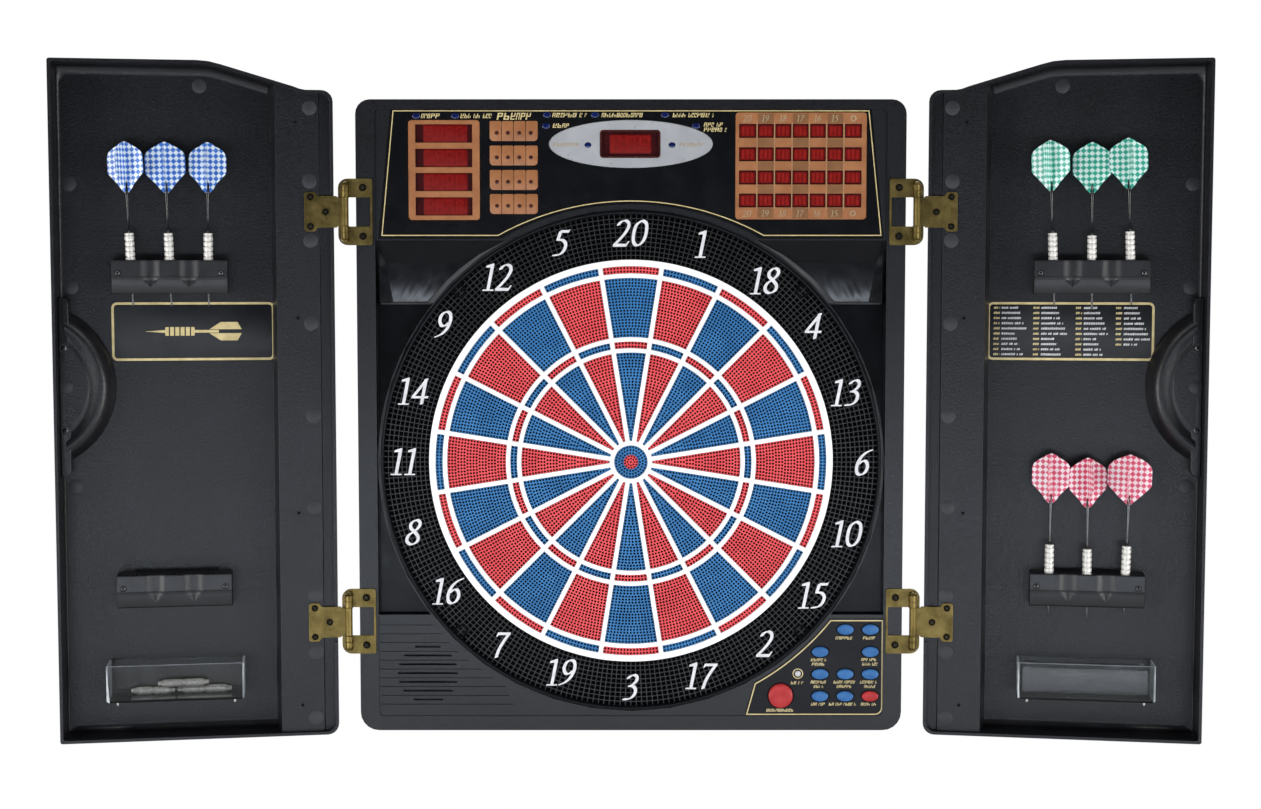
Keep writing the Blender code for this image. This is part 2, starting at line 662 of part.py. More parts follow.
def build_frame_leaf(side, label, which, hinge_z):
    """Leaf on the cabinet: a window-shaped plate, two knuckles and the fixed pin."""
    name = "hinge_frame_leaf_%s_%s" % (label, which)
    place = leaf_place(side, hinge_z)
    inner = PIN_X - 249.5
    outline = arc(-6.9 + 9.0, 23.0, 9.0, 180.0, 90.0, 5)
    outline += [(inner - 1.5, 32.0), (inner, 30.5), (inner, -30.5), (inner - 1.5, -32.0)]
    outline += arc(-6.9 + 9.0, -23.0, 9.0, 270.0, 180.0, 5)
    near = BODY_DEPTH + GAP
    obj = add(name, prisms(name, [(outline, near, near + LEAF_THICK)], place),
              material(name, (0.33, 0.22, 0.07), 0.4, 1.0), None, (side * PIN_X * MM, -PIN_DEPTH * MM, 0.0))
    window = prisms(name + "_window", [(box_outline(-3.95, -14.0, inner - 2.0, 14.0), near - 2.0, near + 4.0)], place)
    place_tool(cut(obj, name + "_window", window), obj)
    for number, (z0, z1) in enumerate(((-26.5, -14.2), (14.2, 26.5))):
        knuckle = pin_lathe(name + "_knuckle", KNUCKLE_R, z0, z1, hinge_z)
        place_tool(join(obj, "%s_knuckle_%d" % (name, number), knuckle), obj)
    pin = pin_lathe(name + "_pin", PIN_R, -20.0, 20.0, hinge_z)
    place_tool(join(obj, name + "_pin", pin), obj)


def place_tool(other, obj):
    other.location = obj.location


def build_door_leaf(side, label, which, hinge_z, pivot):
    """Leaf on the door: a plate with two ears and the middle knuckle."""
    name = "hinge_door_leaf_%s_%s" % (label, which)
    place = leaf_place(side, hinge_z)
    reach = PIN_X - DOOR_EDGE + 28.1
    ears = reach - 12.5
    outline = [(0.0, -13.6), (6.5, -13.6), (8.0, -15.2), (ears, -15.2), (ears + 1.5, -17.6), (ears + 3.0, -19.0),
               (reach - 1.5, -19.0), (reach, -17.5)]
    outline += [(x, -z) for x, z in outline[::-1]]
    front = BAND_FLOOR - GAP
    obj = add(name, prisms(name, [(outline, front - LEAF_THICK, front)], place),
              material(name, (0.33, 0.22, 0.07), 0.4, 1.0), pivot)
    join(obj, name + "_knuckle", pin_lathe(name + "_knuckle", KNUCKLE_R, -13.6, 13.6, hinge_z))
    cut(obj, name + "_bore", pin_lathe(name + "_bore", PIN_BORE_R, -30.0, 30.0, hinge_z))


# ---------------------------------------------------------------- doors
def build_door(side, label, pivot):
    name = "door_" + label
    place = door_place(side)
    outer_depth = DOOR_RIM + DOOR_DEPTH
    bm = bmesh.new()
    section = [(0.0, DOOR_RIM), (DOOR_WIDTH, DOOR_RIM), (DOOR_WIDTH, outer_depth - 4.0), (DOOR_WIDTH - 4.0, outer_depth),
               (BAND_WIDTH + 4.0, outer_depth), (BAND_WIDTH - 1.0, BAND_OUTER), (1.5, BAND_OUTER), (0.0, BAND_OUTER - 1.5)]
    sweep_section(bm, section, -300.0, 420.0, place)
    obj = add(name, finish_mesh(name, bm), material(name, (0.03, 0.03, 0.033), 0.5), pivot)
    combine(obj, tool(name + "_outline", prisms("outline", [(door_outline(0.0), 40.0, 110.0)], place), pivot), "INTERSECT")
    bm = bmesh.new()
    inside = [(DOOR_SKIN, 50.0), (DOOR_SKIN, BAND_OUTER - DOOR_SKIN), (13.0, BAND_OUTER - DOOR_SKIN),
              (14.0, BAND_FLOOR), (BAND_WIDTH, BAND_FLOOR), (BAND_WIDTH + 5.0, FLOOR_DEPTH),
              (DOOR_WIDTH - DOOR_SKIN, FLOOR_DEPTH), (DOOR_WIDTH - DOOR_SKIN, 50.0)]
    sweep_section(bm, inside, -310.0, 430.0, place)
    cavity = tool(name + "_cavity", finish_mesh("cavity", bm), pivot)
    inset = prisms("inset", [(door_outline(DOOR_SKIN), 45.0, 115.0)], place)
    combine(cavity, tool(name + "_inset", inset, pivot), "INTERSECT")
    combine(obj, cavity, "DIFFERENCE")
    notches = []
    for hinge_z in HINGE_Z:
        notches.append((box_outline(-2.0, hinge_z - 19.6, 14.6, hinge_z + 19.6), 50.0, BAND_FLOOR))
    cut(obj, name + "_leaf_notches", prisms("leaf_notches", notches, place))
    reliefs = [(box_outline(-2.0, hinge_z - 33.0, 6.0, hinge_z + 33.0), 50.0, 57.4) for hinge_z in HINGE_Z]
    cut(obj, name + "_reliefs", prisms("reliefs", reliefs, place))
    hole = [(x, z) for x, z in cup_outline(-2.6)]
    cut(obj, name + "_grip_hole", prisms("grip_hole", [(hole, FLOOR_DEPTH - 5.0, 110.0)], place))


def sweep_section(bm, section, z0, z1, place):
    """Prism running up the door with an (along, depth) cross-section."""
    low = [bm.verts.new(place(along, z0, depth)) for along, depth in section]
    high = [bm.verts.new(place(along, z1, depth)) for along, depth in section]
    bm.faces.new(low)
    bm.faces.new(high[::-1])
    for i in range(len(section)):
        j = (i + 1) % len(section)
        bm.faces.new((low[i], high[i], high[j], low[j]))


def cup_outline(grow):
    """Half-moon of the finger cup, flat side towards the free edge."""
    half = CUP_HALF + grow
    reach = CUP_REACH + grow
    radius = (half * half + reach * reach) / (2.0 * reach)
    flat = DOOR_WIDTH - DOOR_SKIN - 5.6 + grow * 0.5
    spread = math.degrees(math.asin(half / radius))
    return arc(flat - reach + radius, CUP_Z, radius, 180.0 - spread, 180.0 + spread, 12)


def build_handle_cup(side, label, pivot):
    """Finger cup: a half-moon bowl, its flat crown level with a flange strip at the free edge."""
    name = "handle_cup_" + label
    place = door_place(side)
    crown = FLOOR_DEPTH - CUP_STAND
    bm = bmesh.new()
    loops = []
    for grow, depth in ((-2.0, FLOOR_DEPTH - GAP), (0.0, FLOOR_DEPTH - GAP), (-0.6, crown + 7.0), (-2.6, crown + 2.2),
                        (-6.0, crown), (-8.0, crown + 2.0), (-4.8, crown + 4.2), (-2.8, crown + 8.0)):
        loops.append([bm.verts.new(place(x, z, depth)) for x, z in cup_outline(grow)])
    count = len(loops[0])
    ring = loops[0:5]
    for first, second in zip(ring, ring[1:]):
        for i in range(count):
            j = (i + 1) % count
            bm.faces.new((first[i], second[i], second[j], first[j]))
    bm.faces.new(loops[4])
    inner = [loops[0], loops[7], loops[6], loops[5]]
    for first, second in zip(inner, inner[1:]):
        for i in range(count):
            j = (i + 1) % count
            bm.faces.new((first[i], second[i], second[j], first[j]))
    bm.faces.new(loops[5])
    obj = add(name, finish_mesh(name, bm), material(name, (0.035, 0.035, 0.038), 0.45), pivot)
    far = DOOR_WIDTH - DOOR_SKIN - GAP
    strip = rounded(far - 9.4, CUP_Z - CUP_FLANGE_HALF, far, CUP_Z + CUP_FLANGE_HALF, 3.0, 3.0, 3)
    join(obj, name + "_flange", prisms(name + "_flange", [(strip, crown + 0.05, crown + 2.6)], place))


# ---------------------------------------------------------------- racks, darts and bins
def dart_places():
    return [RACK_CENTRE + DART_PITCH * k for k in (-1, 0, 1)]


def build_rack(side, label, which, top, pivot):
    """Three-socket rack with a sloping nose and two shallow grooves between its pads."""
    name = "dart_rack_%s_%s" % (label, which)
    place = door_place(side)
    bottom = top - RACK_HEIGHT
    back = FLOOR_DEPTH - GAP
    profile = [(top, back), (top, back - 26.5), (top - 17.0, back - 26.5), (top - 27.0, back - 20.5),
               (top - 28.5, back - 22.5), (bottom, back - 22.5), (bottom, back)]
    half = RACK_WIDTH / 2
    mesh = profile_along_x(name, profile, RACK_CENTRE - half, RACK_CENTRE + half, place)
    obj = add(name, mesh, material(name, (0.02, 0.02, 0.022), 0.35), pivot)
    bm = bmesh.new()
    for k in (-0.5, 0.5):
        along = RACK_CENTRE + DART_PITCH * k
        section = [(along - 4.0, back - 30.0), (along + 4.0, back - 30.0), (along + 0.6, back - 22.6),
                   (along - 0.6, back - 22.6)]
        sweep_section(bm, section, bottom - 2.0, top + 2.0, place)
    cut(obj, name + "_grooves", finish_mesh("grooves", bm))
    axis_depth = FLOOR_DEPTH - DART_STAND
    bm = bmesh.new()
    for along in dart_places():
        centre = place(along, 0.0, axis_depth)
        socket_into(bm, centre, top)
    cut(obj, name + "_sockets", finish_mesh("sockets", bm))


def socket_into(bm, centre, top):
    """Stepped socket: a wide bore for the barrel, a taper, and a through hole for the tip."""
    steps = 12
    bottom = top - RACK_HEIGHT
    rings = []
    for radius, z in ((SOCKET_R, top + 2.0), (SOCKET_R, bottom + 7.5), (2.6, bottom + 4.5), (2.6, bottom - 2.0)):
        rings.append([bm.verts.new((centre[0] + radius * MM * math.cos(2 * math.pi * i / steps),
                                    centre[1] + radius * MM * math.sin(2 * math.pi * i / steps), z * MM))
                      for i in range(steps)])
    bm.faces.new(rings[0])
    for first, second in zip(rings, rings[1:]):
        for i in range(steps):
            j = (i + 1) % steps
            bm.faces.new((first[i], second[i], second[j], first[j]))
    bm.faces.new(rings[-1][::-1])


def dart_profile():
    """Tip, barrel and shaft from the point upwards."""
    return [(0.0, 0.0), (1.15, 17.0), (1.9, 20.0), (3.6, 21.0), (BARREL_R, 26.0), (BARREL_R, 64.0),
            (3.0, 71.0), (1.9, 75.0), (1.9, 118.0), (0.0, 118.5)]


def build_dart(name, side, along, top, pivot, colour):
    place = door_place(side)
    base = top - RACK_HEIGHT - TIP_BELOW_RACK
    centre = place(along, base, FLOOR_DEPTH - DART_STAND)
    obj = add(name, lathe(name, dart_profile(), 10), material(name, colour, 0.4), pivot, centre)
    flight_base = DART_LENGTH - FLIGHT_HEIGHT
    for letter, turn in (("a", 0.0), ("b", math.pi / 2)):
        bm = bmesh.new()
        half = FLIGHT_WIDTH / 2
        outline = [(-0.9, flight_base), (0.9, flight_base), (half, flight_base + 13.0), (half, DART_LENGTH - 2.5),
                   (half - 3.0, DART_LENGTH), (-half + 3.0, DART_LENGTH), (-half, DART_LENGTH - 2.5),
                   (-half, flight_base + 13.0)]
        rows = []
        for offset in (-0.35, 0.35):
            row = []
            for x, z in outline:
                px = x * math.cos(turn) - offset * math.sin(turn)
                py = x * math.sin(turn) + offset * math.cos(turn)
                row.append(bm.verts.new((px * MM, py * MM, z * MM)))
            rows.append(row)
        bm.faces.new(rows[0])
        bm.faces.new(rows[1][::-1])
        for i in range(len(outline)):
            j = (i + 1) % len(outline)
            bm.faces.new((rows[0][i], rows[1][i], rows[1][j], rows[0][j]))
        fin = join(obj, "%s_fin_%s" % (name, letter), finish_mesh("fin", bm))
        fin.location = obj.location


def build_bin(side, label, pivot):
    """Clear open-topped bin."""
    name = "storage_bin_" + label
    place = door_place(side)
    back = FLOOR_DEPTH - GAP
    x0 = BIN_CENTRE - BIN_WIDTH / 2
    x1 = BIN_CENTRE + BIN_WIDTH / 2
    mesh = prisms(name, [(rounded(x0, BIN_BOTTOM, x1, BIN_TOP, 3.0, 0.5, 3), back - BIN_STAND, back)], place)
    obj = add(name, mesh, material(name, (0.82, 0.85, 0.86), 0.1, 0.0, 0.3), pivot)
    hollow = [(box_outline(x0 + 1.8, BIN_BOTTOM + 1.8, x1 - 1.8, BIN_TOP + 5.0), back - BIN_STAND + 1.8, back - 1.8)]
    cut(obj, name + "_hollow", prisms("hollow", hollow, place))


def add_pivot(side, label):
    pivot = bpy.data.objects.new("door_hinge_axis_" + label, None)
    bpy.context.collection.objects.link(pivot)
    pivot.location = (side * PIN_X * MM, -PIN_DEPTH * MM, 0.0)
    pivot.rotation_euler = (0.0, 0.0, math.radians(side * OPEN_ANGLE))
    return pivot


DART_SETS = (("blue", -1, 0, (0.05, 0.2, 0.5)), ("green", 1, 0, (0.05, 0.4, 0.16)), ("red", 1, 1, (0.6, 0.06, 0.1)))


def build_side(side, label):
    pivot = add_pivot(side, label)
    build_door(side, label, pivot)
    build_handle_cup(side, label, pivot)
    build_bin(side, label, pivot)
    for which, top in RACK_TOPS:
        build_rack(side, label, which, top, pivot)
    for which, hinge_z in zip(HINGE_NAMES, HINGE_Z):
        build_frame_leaf(side, label, which, hinge_z)
        build_door_leaf(side, label, which, hinge_z, pivot)
    for colour_name, dart_side, rack, colour in DART_SETS:
        if dart_side == side:
            for number, along in enumerate(dart_places()):
                build_dart("dart_%s_%d" % (colour_name, number + 1), side, along, RACK_TOPS[rack][1], pivot, colour)


def main():
    clear_scene()
    build_rear_housing()
    build_power_inlet()
    build_front_housing()
    build_display_panel()
    build_displays()
    build_control_panel()
    build_buttons()
    build_electronics()
    build_target()
    for side, label in ((-1, "left"), (1, "right")):
        build_side(side, label)


main()
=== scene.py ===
import math

import bmesh
import bpy
from mathutils import Matrix, Vector, noise
from mathutils.geometry import delaunay_2d_cdt


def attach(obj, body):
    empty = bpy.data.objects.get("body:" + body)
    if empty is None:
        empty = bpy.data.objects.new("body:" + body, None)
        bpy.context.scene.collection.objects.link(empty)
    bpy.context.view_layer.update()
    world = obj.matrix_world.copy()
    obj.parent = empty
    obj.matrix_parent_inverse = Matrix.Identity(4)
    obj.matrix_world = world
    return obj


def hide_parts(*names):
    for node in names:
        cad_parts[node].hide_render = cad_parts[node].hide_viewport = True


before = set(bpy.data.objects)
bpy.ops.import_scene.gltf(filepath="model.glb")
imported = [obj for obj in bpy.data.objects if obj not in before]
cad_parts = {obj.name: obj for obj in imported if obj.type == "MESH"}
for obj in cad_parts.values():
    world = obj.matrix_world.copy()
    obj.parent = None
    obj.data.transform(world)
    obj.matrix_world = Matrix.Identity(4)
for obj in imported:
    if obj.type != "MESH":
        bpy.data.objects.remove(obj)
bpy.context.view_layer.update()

# Lengths are in mm and scaled on the way into the meshes.  Drawing frames are (u to the right,
# v up, w towards the viewer): on the cabinet w is the distance from the wall, on a door w is
# the height above the tray's floor.
MM = 0.001
SHARP_ANGLE, BEVEL_ANGLE = 32.0, 28.0
WELD = 2e-6
SPLINE_STEPS = 6
PIN_X = 275.6
PIN_DEPTH = 59.5
DOOR_EDGE = 265.1
FLOOR_DEPTH = 94.8
OPEN_ANGLE = 171.0
FACE = 53.5
HINGE_Z = (("upper", 243.0), ("lower", -156.0))
SIDES = (("left", -1), ("right", 1))
BAND_HEIGHT = FLOOR_DEPTH - 61.8
FLANGE_TOP = 18.0
RACK_CENTRE = 156.0
RACK_TOPS = (("upper", 196.6), ("lower", -107.0))
RACK_HALF, RACK_TALL = 54.5, 32.4
PAD_TOP, PAD_TALL, NOSE_DROP = 26.8, 15.6, 16.6
CHANNEL_MIDDLE, CHANNEL_HALF, CHANNEL_DEEP = 18.1, 10.4, 2.6
BIN_HALF, BIN_TOP, BIN_FRONT = 65.0, -193.0, 34.0
DART_PITCH = 36.2
DART_STAND = 20.0
CUP_Z, CUP_CREST = 75.0, 18.9
KEY_FOOT, KEY_FLOOR, KEY_TOP = 42.0, 46.2, 50.2
WEB_FOOT, WEB_TOP = 41.0, 51.0
CELL_FLOOR, LATTICE_TOP = 46.0, 50.0
DISPLAY_FOOT, WINDOW_FLOOR, DISPLAY_TOP = 47.0, 52.4, 54.2

CABINET = Matrix(((MM, 0, 0, 0), (0, 0, -MM, 0), (0, MM, 0, 0), (0, 0, 0, 1)))


def door_frame(side):
    """From (u, v, w) on the open door to the shared frame; u is side * distance from the hinge edge."""
    pin = Matrix.Translation((side * PIN_X * MM, -PIN_DEPTH * MM, 0))
    turn = Matrix.Rotation(math.radians(side * OPEN_ANGLE), 4, "Z")
    local = Matrix(((-MM, 0, 0, -side * (PIN_X - DOOR_EDGE) * MM),
                    (0, 0, MM, -(FLOOR_DEPTH - PIN_DEPTH) * MM), (0, MM, 0, 0), (0, 0, 0, 1)))
    return pin @ turn @ local


# ---------------------------------------------------------------- materials
class Nodes:
    """A material's node tree, with short calls to add and join nodes."""

    def __init__(self, name):
        self.mat = bpy.data.materials.new(name)
        self.mat.use_nodes = True
        self.tree = self.mat.node_tree
        self.shader = self.tree.nodes["Principled BSDF"]

    def add(self, kind, **values):
        node = self.tree.nodes.new("ShaderNode" + kind)
        for key, value in values.items():
            if key in node.inputs:
                node.inputs[key].default_value = value
            else:
                setattr(node, key, value)
        return node

    def join(self, out, into):
        self.tree.links.new(out, into)

    def noise(self, coords, scale, detail=3.0):
        node = self.add("TexNoise", Scale=scale, Detail=detail, Roughness=0.55)
        self.join(coords, node.inputs["Vector"])
        return node.outputs["Fac"]

    def ramp(self, value, stops):
        node = self.add("ValToRGB")
        elements = node.color_ramp.elements
        while len(elements) < len(stops):
            elements.new(0.5)
        for element, (position, colour) in zip(elements, stops):
            element.position = position
            element.color = (colour[0], colour[1], colour[2], 1.0)
        self.join(value, node.inputs["Fac"])
        return node.outputs["Color"]

    def spread(self, value, low, high):
        node = self.add("MapRange")
        node.inputs["From Min"].default_value = 0.3
        node.inputs["From Max"].default_value = 0.7
        node.inputs["To Min"].default_value = low
        node.inputs["To Max"].default_value = high
        self.join(value, node.inputs["Value"])
        return node.outputs["Result"]

    def bump(self, height, strength, distance):
        node = self.add("Bump", Strength=strength, Distance=distance)
        self.join(height, node.inputs["Height"])
        old = self.shader.inputs["Normal"]
        if old.is_linked:
            self.join(old.links[0].from_socket, node.inputs["Normal"])
        self.join(node.outputs["Normal"], old)


def surface(name, dark, light, rough, grain, relief, patch, leather=0.0, fleck=0.0, **sockets):
    """Principled material: colour and roughness drift in soft patches over a fine raised grain."""
    n = Nodes(name)
    place = n.add("TexCoord").outputs["Object"]
    patches = n.noise(place, patch, 4.0)
    n.join(n.ramp(patches, [(0.35, dark), (0.65, light)]), n.shader.inputs["Base Color"])
    n.join(n.spread(n.noise(place, fleck or patch * 4.3, 3.0), rough[0], rough[1]),
           n.shader.inputs["Roughness"])
    if relief:
        n.bump(n.noise(place, grain, 2.0), 0.6, relief * MM)
    if leather:
        cells = n.add("TexVoronoi", feature="SMOOTH_F1", Scale=grain * 0.9)
        n.join(place, cells.inputs["Vector"])
        n.bump(cells.outputs["Distance"], 0.5, leather * MM)
    for key, value in sockets.items():
        n.shader.inputs[key.replace("_", " ")].default_value = value
    n.mat.diffuse_color = (light[0], light[1], light[2], 1.0)
    return n.mat


def clear_plastic(name):
    """Thin clear styrene: straight-through light with a mirror sheen that grows at grazing angles."""
    n = Nodes(name)
    coords = n.add("TexCoord").outputs["Object"]
    through = n.add("BsdfTransparent", Color=(0.985, 0.99, 0.99, 1.0))
    shine = n.add("BsdfGlossy", Color=(1.0, 1.0, 1.0, 1.0))
    n.join(n.spread(n.noise(coords, 60.0), 0.02, 0.07), shine.inputs["Roughness"])
    ripple = n.add("Bump", Strength=0.25, Distance=0.1 * MM)
    n.join(n.noise(coords, 90.0), ripple.inputs["Height"])
    n.join(ripple.outputs["Normal"], shine.inputs["Normal"])
    facing = n.add("Fresnel", IOR=1.5)
    mix = n.add("MixShader")
    n.join(facing.outputs["Fac"], mix.inputs[0])
    n.join(through.outputs["BSDF"], mix.inputs[1])
    n.join(shine.outputs["BSDF"], mix.inputs[2])
    n.join(mix.outputs["Shader"], n.tree.nodes["Material Output"].inputs["Surface"])
    return n.mat


def checked(name, ink, paper):
    """Flight film: a diamond check in the fin's own coordinates, slightly see-through."""
    n = Nodes(name)
    uv = n.add("UVMap", uv_map="fin").outputs["UV"]
    mapping = n.add("Mapping", Scale=(0.262, 0.262, 1.0), Rotation=(0.0, 0.0, math.radians(45.0)),
                    Location=(0.07, 0.11, 0.25))
    n.join(uv, mapping.inputs["Vector"])
    check = n.add("TexChecker", Scale=1.0, Color1=(*ink, 1.0), Color2=(*paper, 1.0))
    n.join(mapping.outputs["Vector"], check.inputs["Vector"])
    coords = n.add("TexCoord").outputs["Object"]
    tone = n.noise(coords, 260.0)
    mix = n.add("MixRGB", blend_type="MULTIPLY", Fac=0.2)
    n.join(check.outputs["Color"], mix.inputs["Color1"])
    n.join(n.ramp(tone, [(0.3, (0.72, 0.78, 0.86)), (0.7, (1.0, 1.0, 1.0))]), mix.inputs["Color2"])
    n.join(mix.outputs["Color"], n.shader.inputs["Base Color"])
    n.join(n.spread(tone, 0.14, 0.3), n.shader.inputs["Roughness"])
    n.bump(n.noise(coords, 900.0), 0.25, 0.05 * MM)
    n.shader.inputs["Alpha"].default_value = 0.93
    return n.mat


ABS = surface("black_abs", (0.004, 0.0042, 0.0052), (0.0066, 0.0068, 0.0086), (0.27, 0.41),
              900.0, 0.10, 18.0, leather=0.08, fleck=560.0, Specular_IOR_Level=0.46)
TRAY = surface("door_abs", (0.0042, 0.0044, 0.0055), (0.0068, 0.0070, 0.0092), (0.28, 0.46),
               640.0, 0.24, 14.0, leather=0.20, fleck=620.0, Specular_IOR_Level=0.44)
# Lighter plastic: the ejector discs' own smoother tone, and on the pocket lip a painted highlight along the
# ledge.
DISC_TONE_AND_LIP_SHEEN = surface("ejector_disc_tone_and_lip_sheen", (0.015, 0.0155, 0.018), (0.024, 0.0248, 0.028), (0.42, 0.52),
               1500.0, 0.02, 60.0)
SMOOTH = surface("smooth_black", (0.0035, 0.0036, 0.0045), (0.0052, 0.0054, 0.0068), (0.18, 0.25),
                 1500.0, 0.012, 25.0, Specular_IOR_Level=0.12)
GLOSS = surface("pocket_gloss", (0.0030, 0.0034, 0.0046), (0.0052, 0.0058, 0.0076), (0.15, 0.21),
                700.0, 0.02, 20.0)
# Painted highlight: a lighter grey copy of the black plastic for the lit crescent of the collar round the
# target.
COLLAR_SHEEN = surface("collar_painted_sheen", (0.078, 0.080, 0.085), (0.130, 0.132, 0.139), (0.30, 0.42),
                 900.0, 0.03, 35.0)
RACK = surface("rack_black", (0.0085, 0.0088, 0.0102), (0.0130, 0.0135, 0.0155), (0.31, 0.40),
               1300.0, 0.03, 60.0)
PANEL = surface("panel_film", (0.0028, 0.003, 0.004), (0.0040, 0.0042, 0.0054), (0.22, 0.30),
                1400.0, 0.01, 12.0, Specular_IOR_Level=0.25)
LABEL = surface("label_film", (0.0085, 0.009, 0.011), (0.012, 0.0125, 0.015), (0.32, 0.40),
                1500.0, 0.02, 30.0, Specular_IOR_Level=0.32)
CONTROL = surface("control_film", (0.0055, 0.0058, 0.0075), (0.0085, 0.009, 0.0115), (0.32, 0.40),
                  1500.0, 0.02, 30.0, Specular_IOR_Level=0.2)
LATTICE = surface("lattice_black", (0.0012, 0.0012, 0.0014), (0.0022, 0.0022, 0.0025), (0.50, 0.62),
                  1500.0, 0.02, 30.0, Specular_IOR_Level=0.06)
# Painted highlight: the number ring's ribs are the same black plastic, coloured lighter for their lit edges.
RIB_HIGHLIGHT = surface("rib_painted_highlight", (0.020, 0.020, 0.022), (0.034, 0.034, 0.037), (0.30, 0.42), 1500.0, 0.02, 45.0)
# Painted shade: near-black colour put on hole floors, screw recesses, screw heads sunk in their countersinks
# and the gaps round buttons, where only shade falls.
PAINTED_SHADE = surface("painted_recess_shade", (0.0006, 0.0006, 0.0008), (0.0012, 0.0012, 0.0015), (0.6, 0.8),
               600.0, 0.03, 60.0, Specular_IOR_Level=0.1)
WHITE = surface("white_web", (0.87, 0.87, 0.86), (0.94, 0.94, 0.93), (0.30, 0.42), 1200.0, 0.012, 22.0)
NUMERAL = surface("numeral_white", (0.62, 0.62, 0.64), (0.74, 0.74, 0.76), (0.35, 0.5), 1600.0, 0.03, 160.0)
RED = surface("key_red", (0.68, 0.066, 0.076), (0.80, 0.092, 0.102), (0.34, 0.46),
              1500.0, 0.02, 50.0, Specular_IOR_Level=0.2)
BLUE = surface("key_blue", (0.030, 0.145, 0.35), (0.046, 0.195, 0.45), (0.34, 0.46),
               1500.0, 0.02, 50.0, Specular_IOR_Level=0.2)
# Painted shade: darker copies of the key colours for the walls and floors of the dart holes.
RED_HOLE_SHADE = surface("key_red_hole_shade", (0.010, 0.0006, 0.001), (0.018, 0.0012, 0.0016), (0.5, 0.7),
                   900.0, 0.02, 90.0, Specular_IOR_Level=0.1)
BLUE_HOLE_SHADE = surface("key_blue_hole_shade", (0.0006, 0.0020, 0.007), (0.0012, 0.0036, 0.012), (0.5, 0.7),
                    900.0, 0.02, 90.0, Specular_IOR_Level=0.1)
TAN = surface("display_tan", (0.27, 0.102, 0.036), (0.34, 0.138, 0.052), (0.34, 0.46), 1400.0, 0.02, 55.0)
TAN_DEEP = surface("display_tan_deep", (0.17, 0.072, 0.025), (0.22, 0.098, 0.036), (0.34, 0.46),
                   1400.0, 0.02, 55.0)
BROWN = surface("lamp_brown", (0.035, 0.008, 0.006), (0.06, 0.014, 0.010), (0.2, 0.3), 1400.0, 0.01, 90.0)
WINDOW = surface("window_red", (0.022, 0.002, 0.0028), (0.040, 0.0035, 0.0042), (0.30, 0.40),
                 1200.0, 0.008, 60.0, Specular_IOR_Level=0.15)
GLOW = surface("window_glow", (0.125, 0.0035, 0.003), (0.18, 0.006, 0.005), (0.34, 0.44),
               700.0, 0.01, 190.0, Specular_IOR_Level=0.12)
SEGMENT = surface("digit_red", (0.19, 0.007, 0.005), (0.26, 0.012, 0.009), (0.34, 0.44),
                  900.0, 0.01, 150.0, Specular_IOR_Level=0.12)
SILVER = surface("oval_silver", (0.34, 0.35, 0.37), (0.41, 0.42, 0.44), (0.26, 0.38),
                 1600.0, 0.012, 30.0, Metallic=0.15)
LAMP = surface("lamp_blue", (0.003, 0.007, 0.055), (0.005, 0.013, 0.095), (0.12, 0.22), 1200.0, 0.01, 200.0)
GOLD = surface("gold_ink", (0.50, 0.40, 0.185), (0.63, 0.52, 0.26), (0.28, 0.42), 1800.0, 0.01, 120.0)
PALE_INK = surface("pale_ink", (0.44, 0.44, 0.45), (0.60, 0.60, 0.60), (0.4, 0.5), 1800.0, 0.01, 200.0)
TAN_INK = surface("tan_ink", (0.28, 0.22, 0.13), (0.36, 0.29, 0.18), (0.4, 0.5), 1800.0, 0.01, 200.0)
BUTTON_BLUE = surface("button_blue", (0.022, 0.105, 0.29), (0.040, 0.150, 0.37), (0.30, 0.40),
                      900.0, 0.02, 110.0, Specular_IOR_Level=0.3)
BUTTON_RED = surface("button_red", (0.34, 0.018, 0.020), (0.44, 0.030, 0.032), (0.30, 0.40),
                     900.0, 0.02, 110.0, Specular_IOR_Level=0.3)
BRASS = surface("antique_brass", (0.108, 0.080, 0.026), (0.215, 0.158, 0.054), (0.34, 0.48),
                1500.0, 0.06, 70.0, Metallic=1.0)
# Painted shade: darkened brass for the cross recesses of the hinge screws.
BRASS_DARK = surface("brass_recess_shade", (0.018, 0.014, 0.008), (0.07, 0.055, 0.025), (0.30, 0.5),
                     2400.0, 0.05, 300.0, Metallic=0.8)
STEEL = surface("screw_steel", (0.05, 0.05, 0.052), (0.12, 0.12, 0.125), (0.26, 0.42),
                2600.0, 0.02, 400.0, Metallic=0.9)
BARREL = surface("barrel_nickel", (0.60, 0.585, 0.545), (0.74, 0.72, 0.68), (0.38, 0.50),
                 2600.0, 0.02, 300.0, Metallic=0.25)
# Knurled steel for the loose barrels and pegs; on the darts it is also the darker colour in the barrel
# grooves, painted groove shade.
KNURL_AND_GROOVE_SHADE = surface("knurled_steel_and_groove_shade", (0.46, 0.44, 0.40), (0.68, 0.655, 0.61), (0.26, 0.42),
                2600.0, 0.03, 350.0, Metallic=0.5)
SHAFT = surface("dart_shaft", (0.004, 0.004, 0.005), (0.008, 0.008, 0.010), (0.16, 0.28),
                1600.0, 0.01, 200.0, Coat_Weight=0.3)
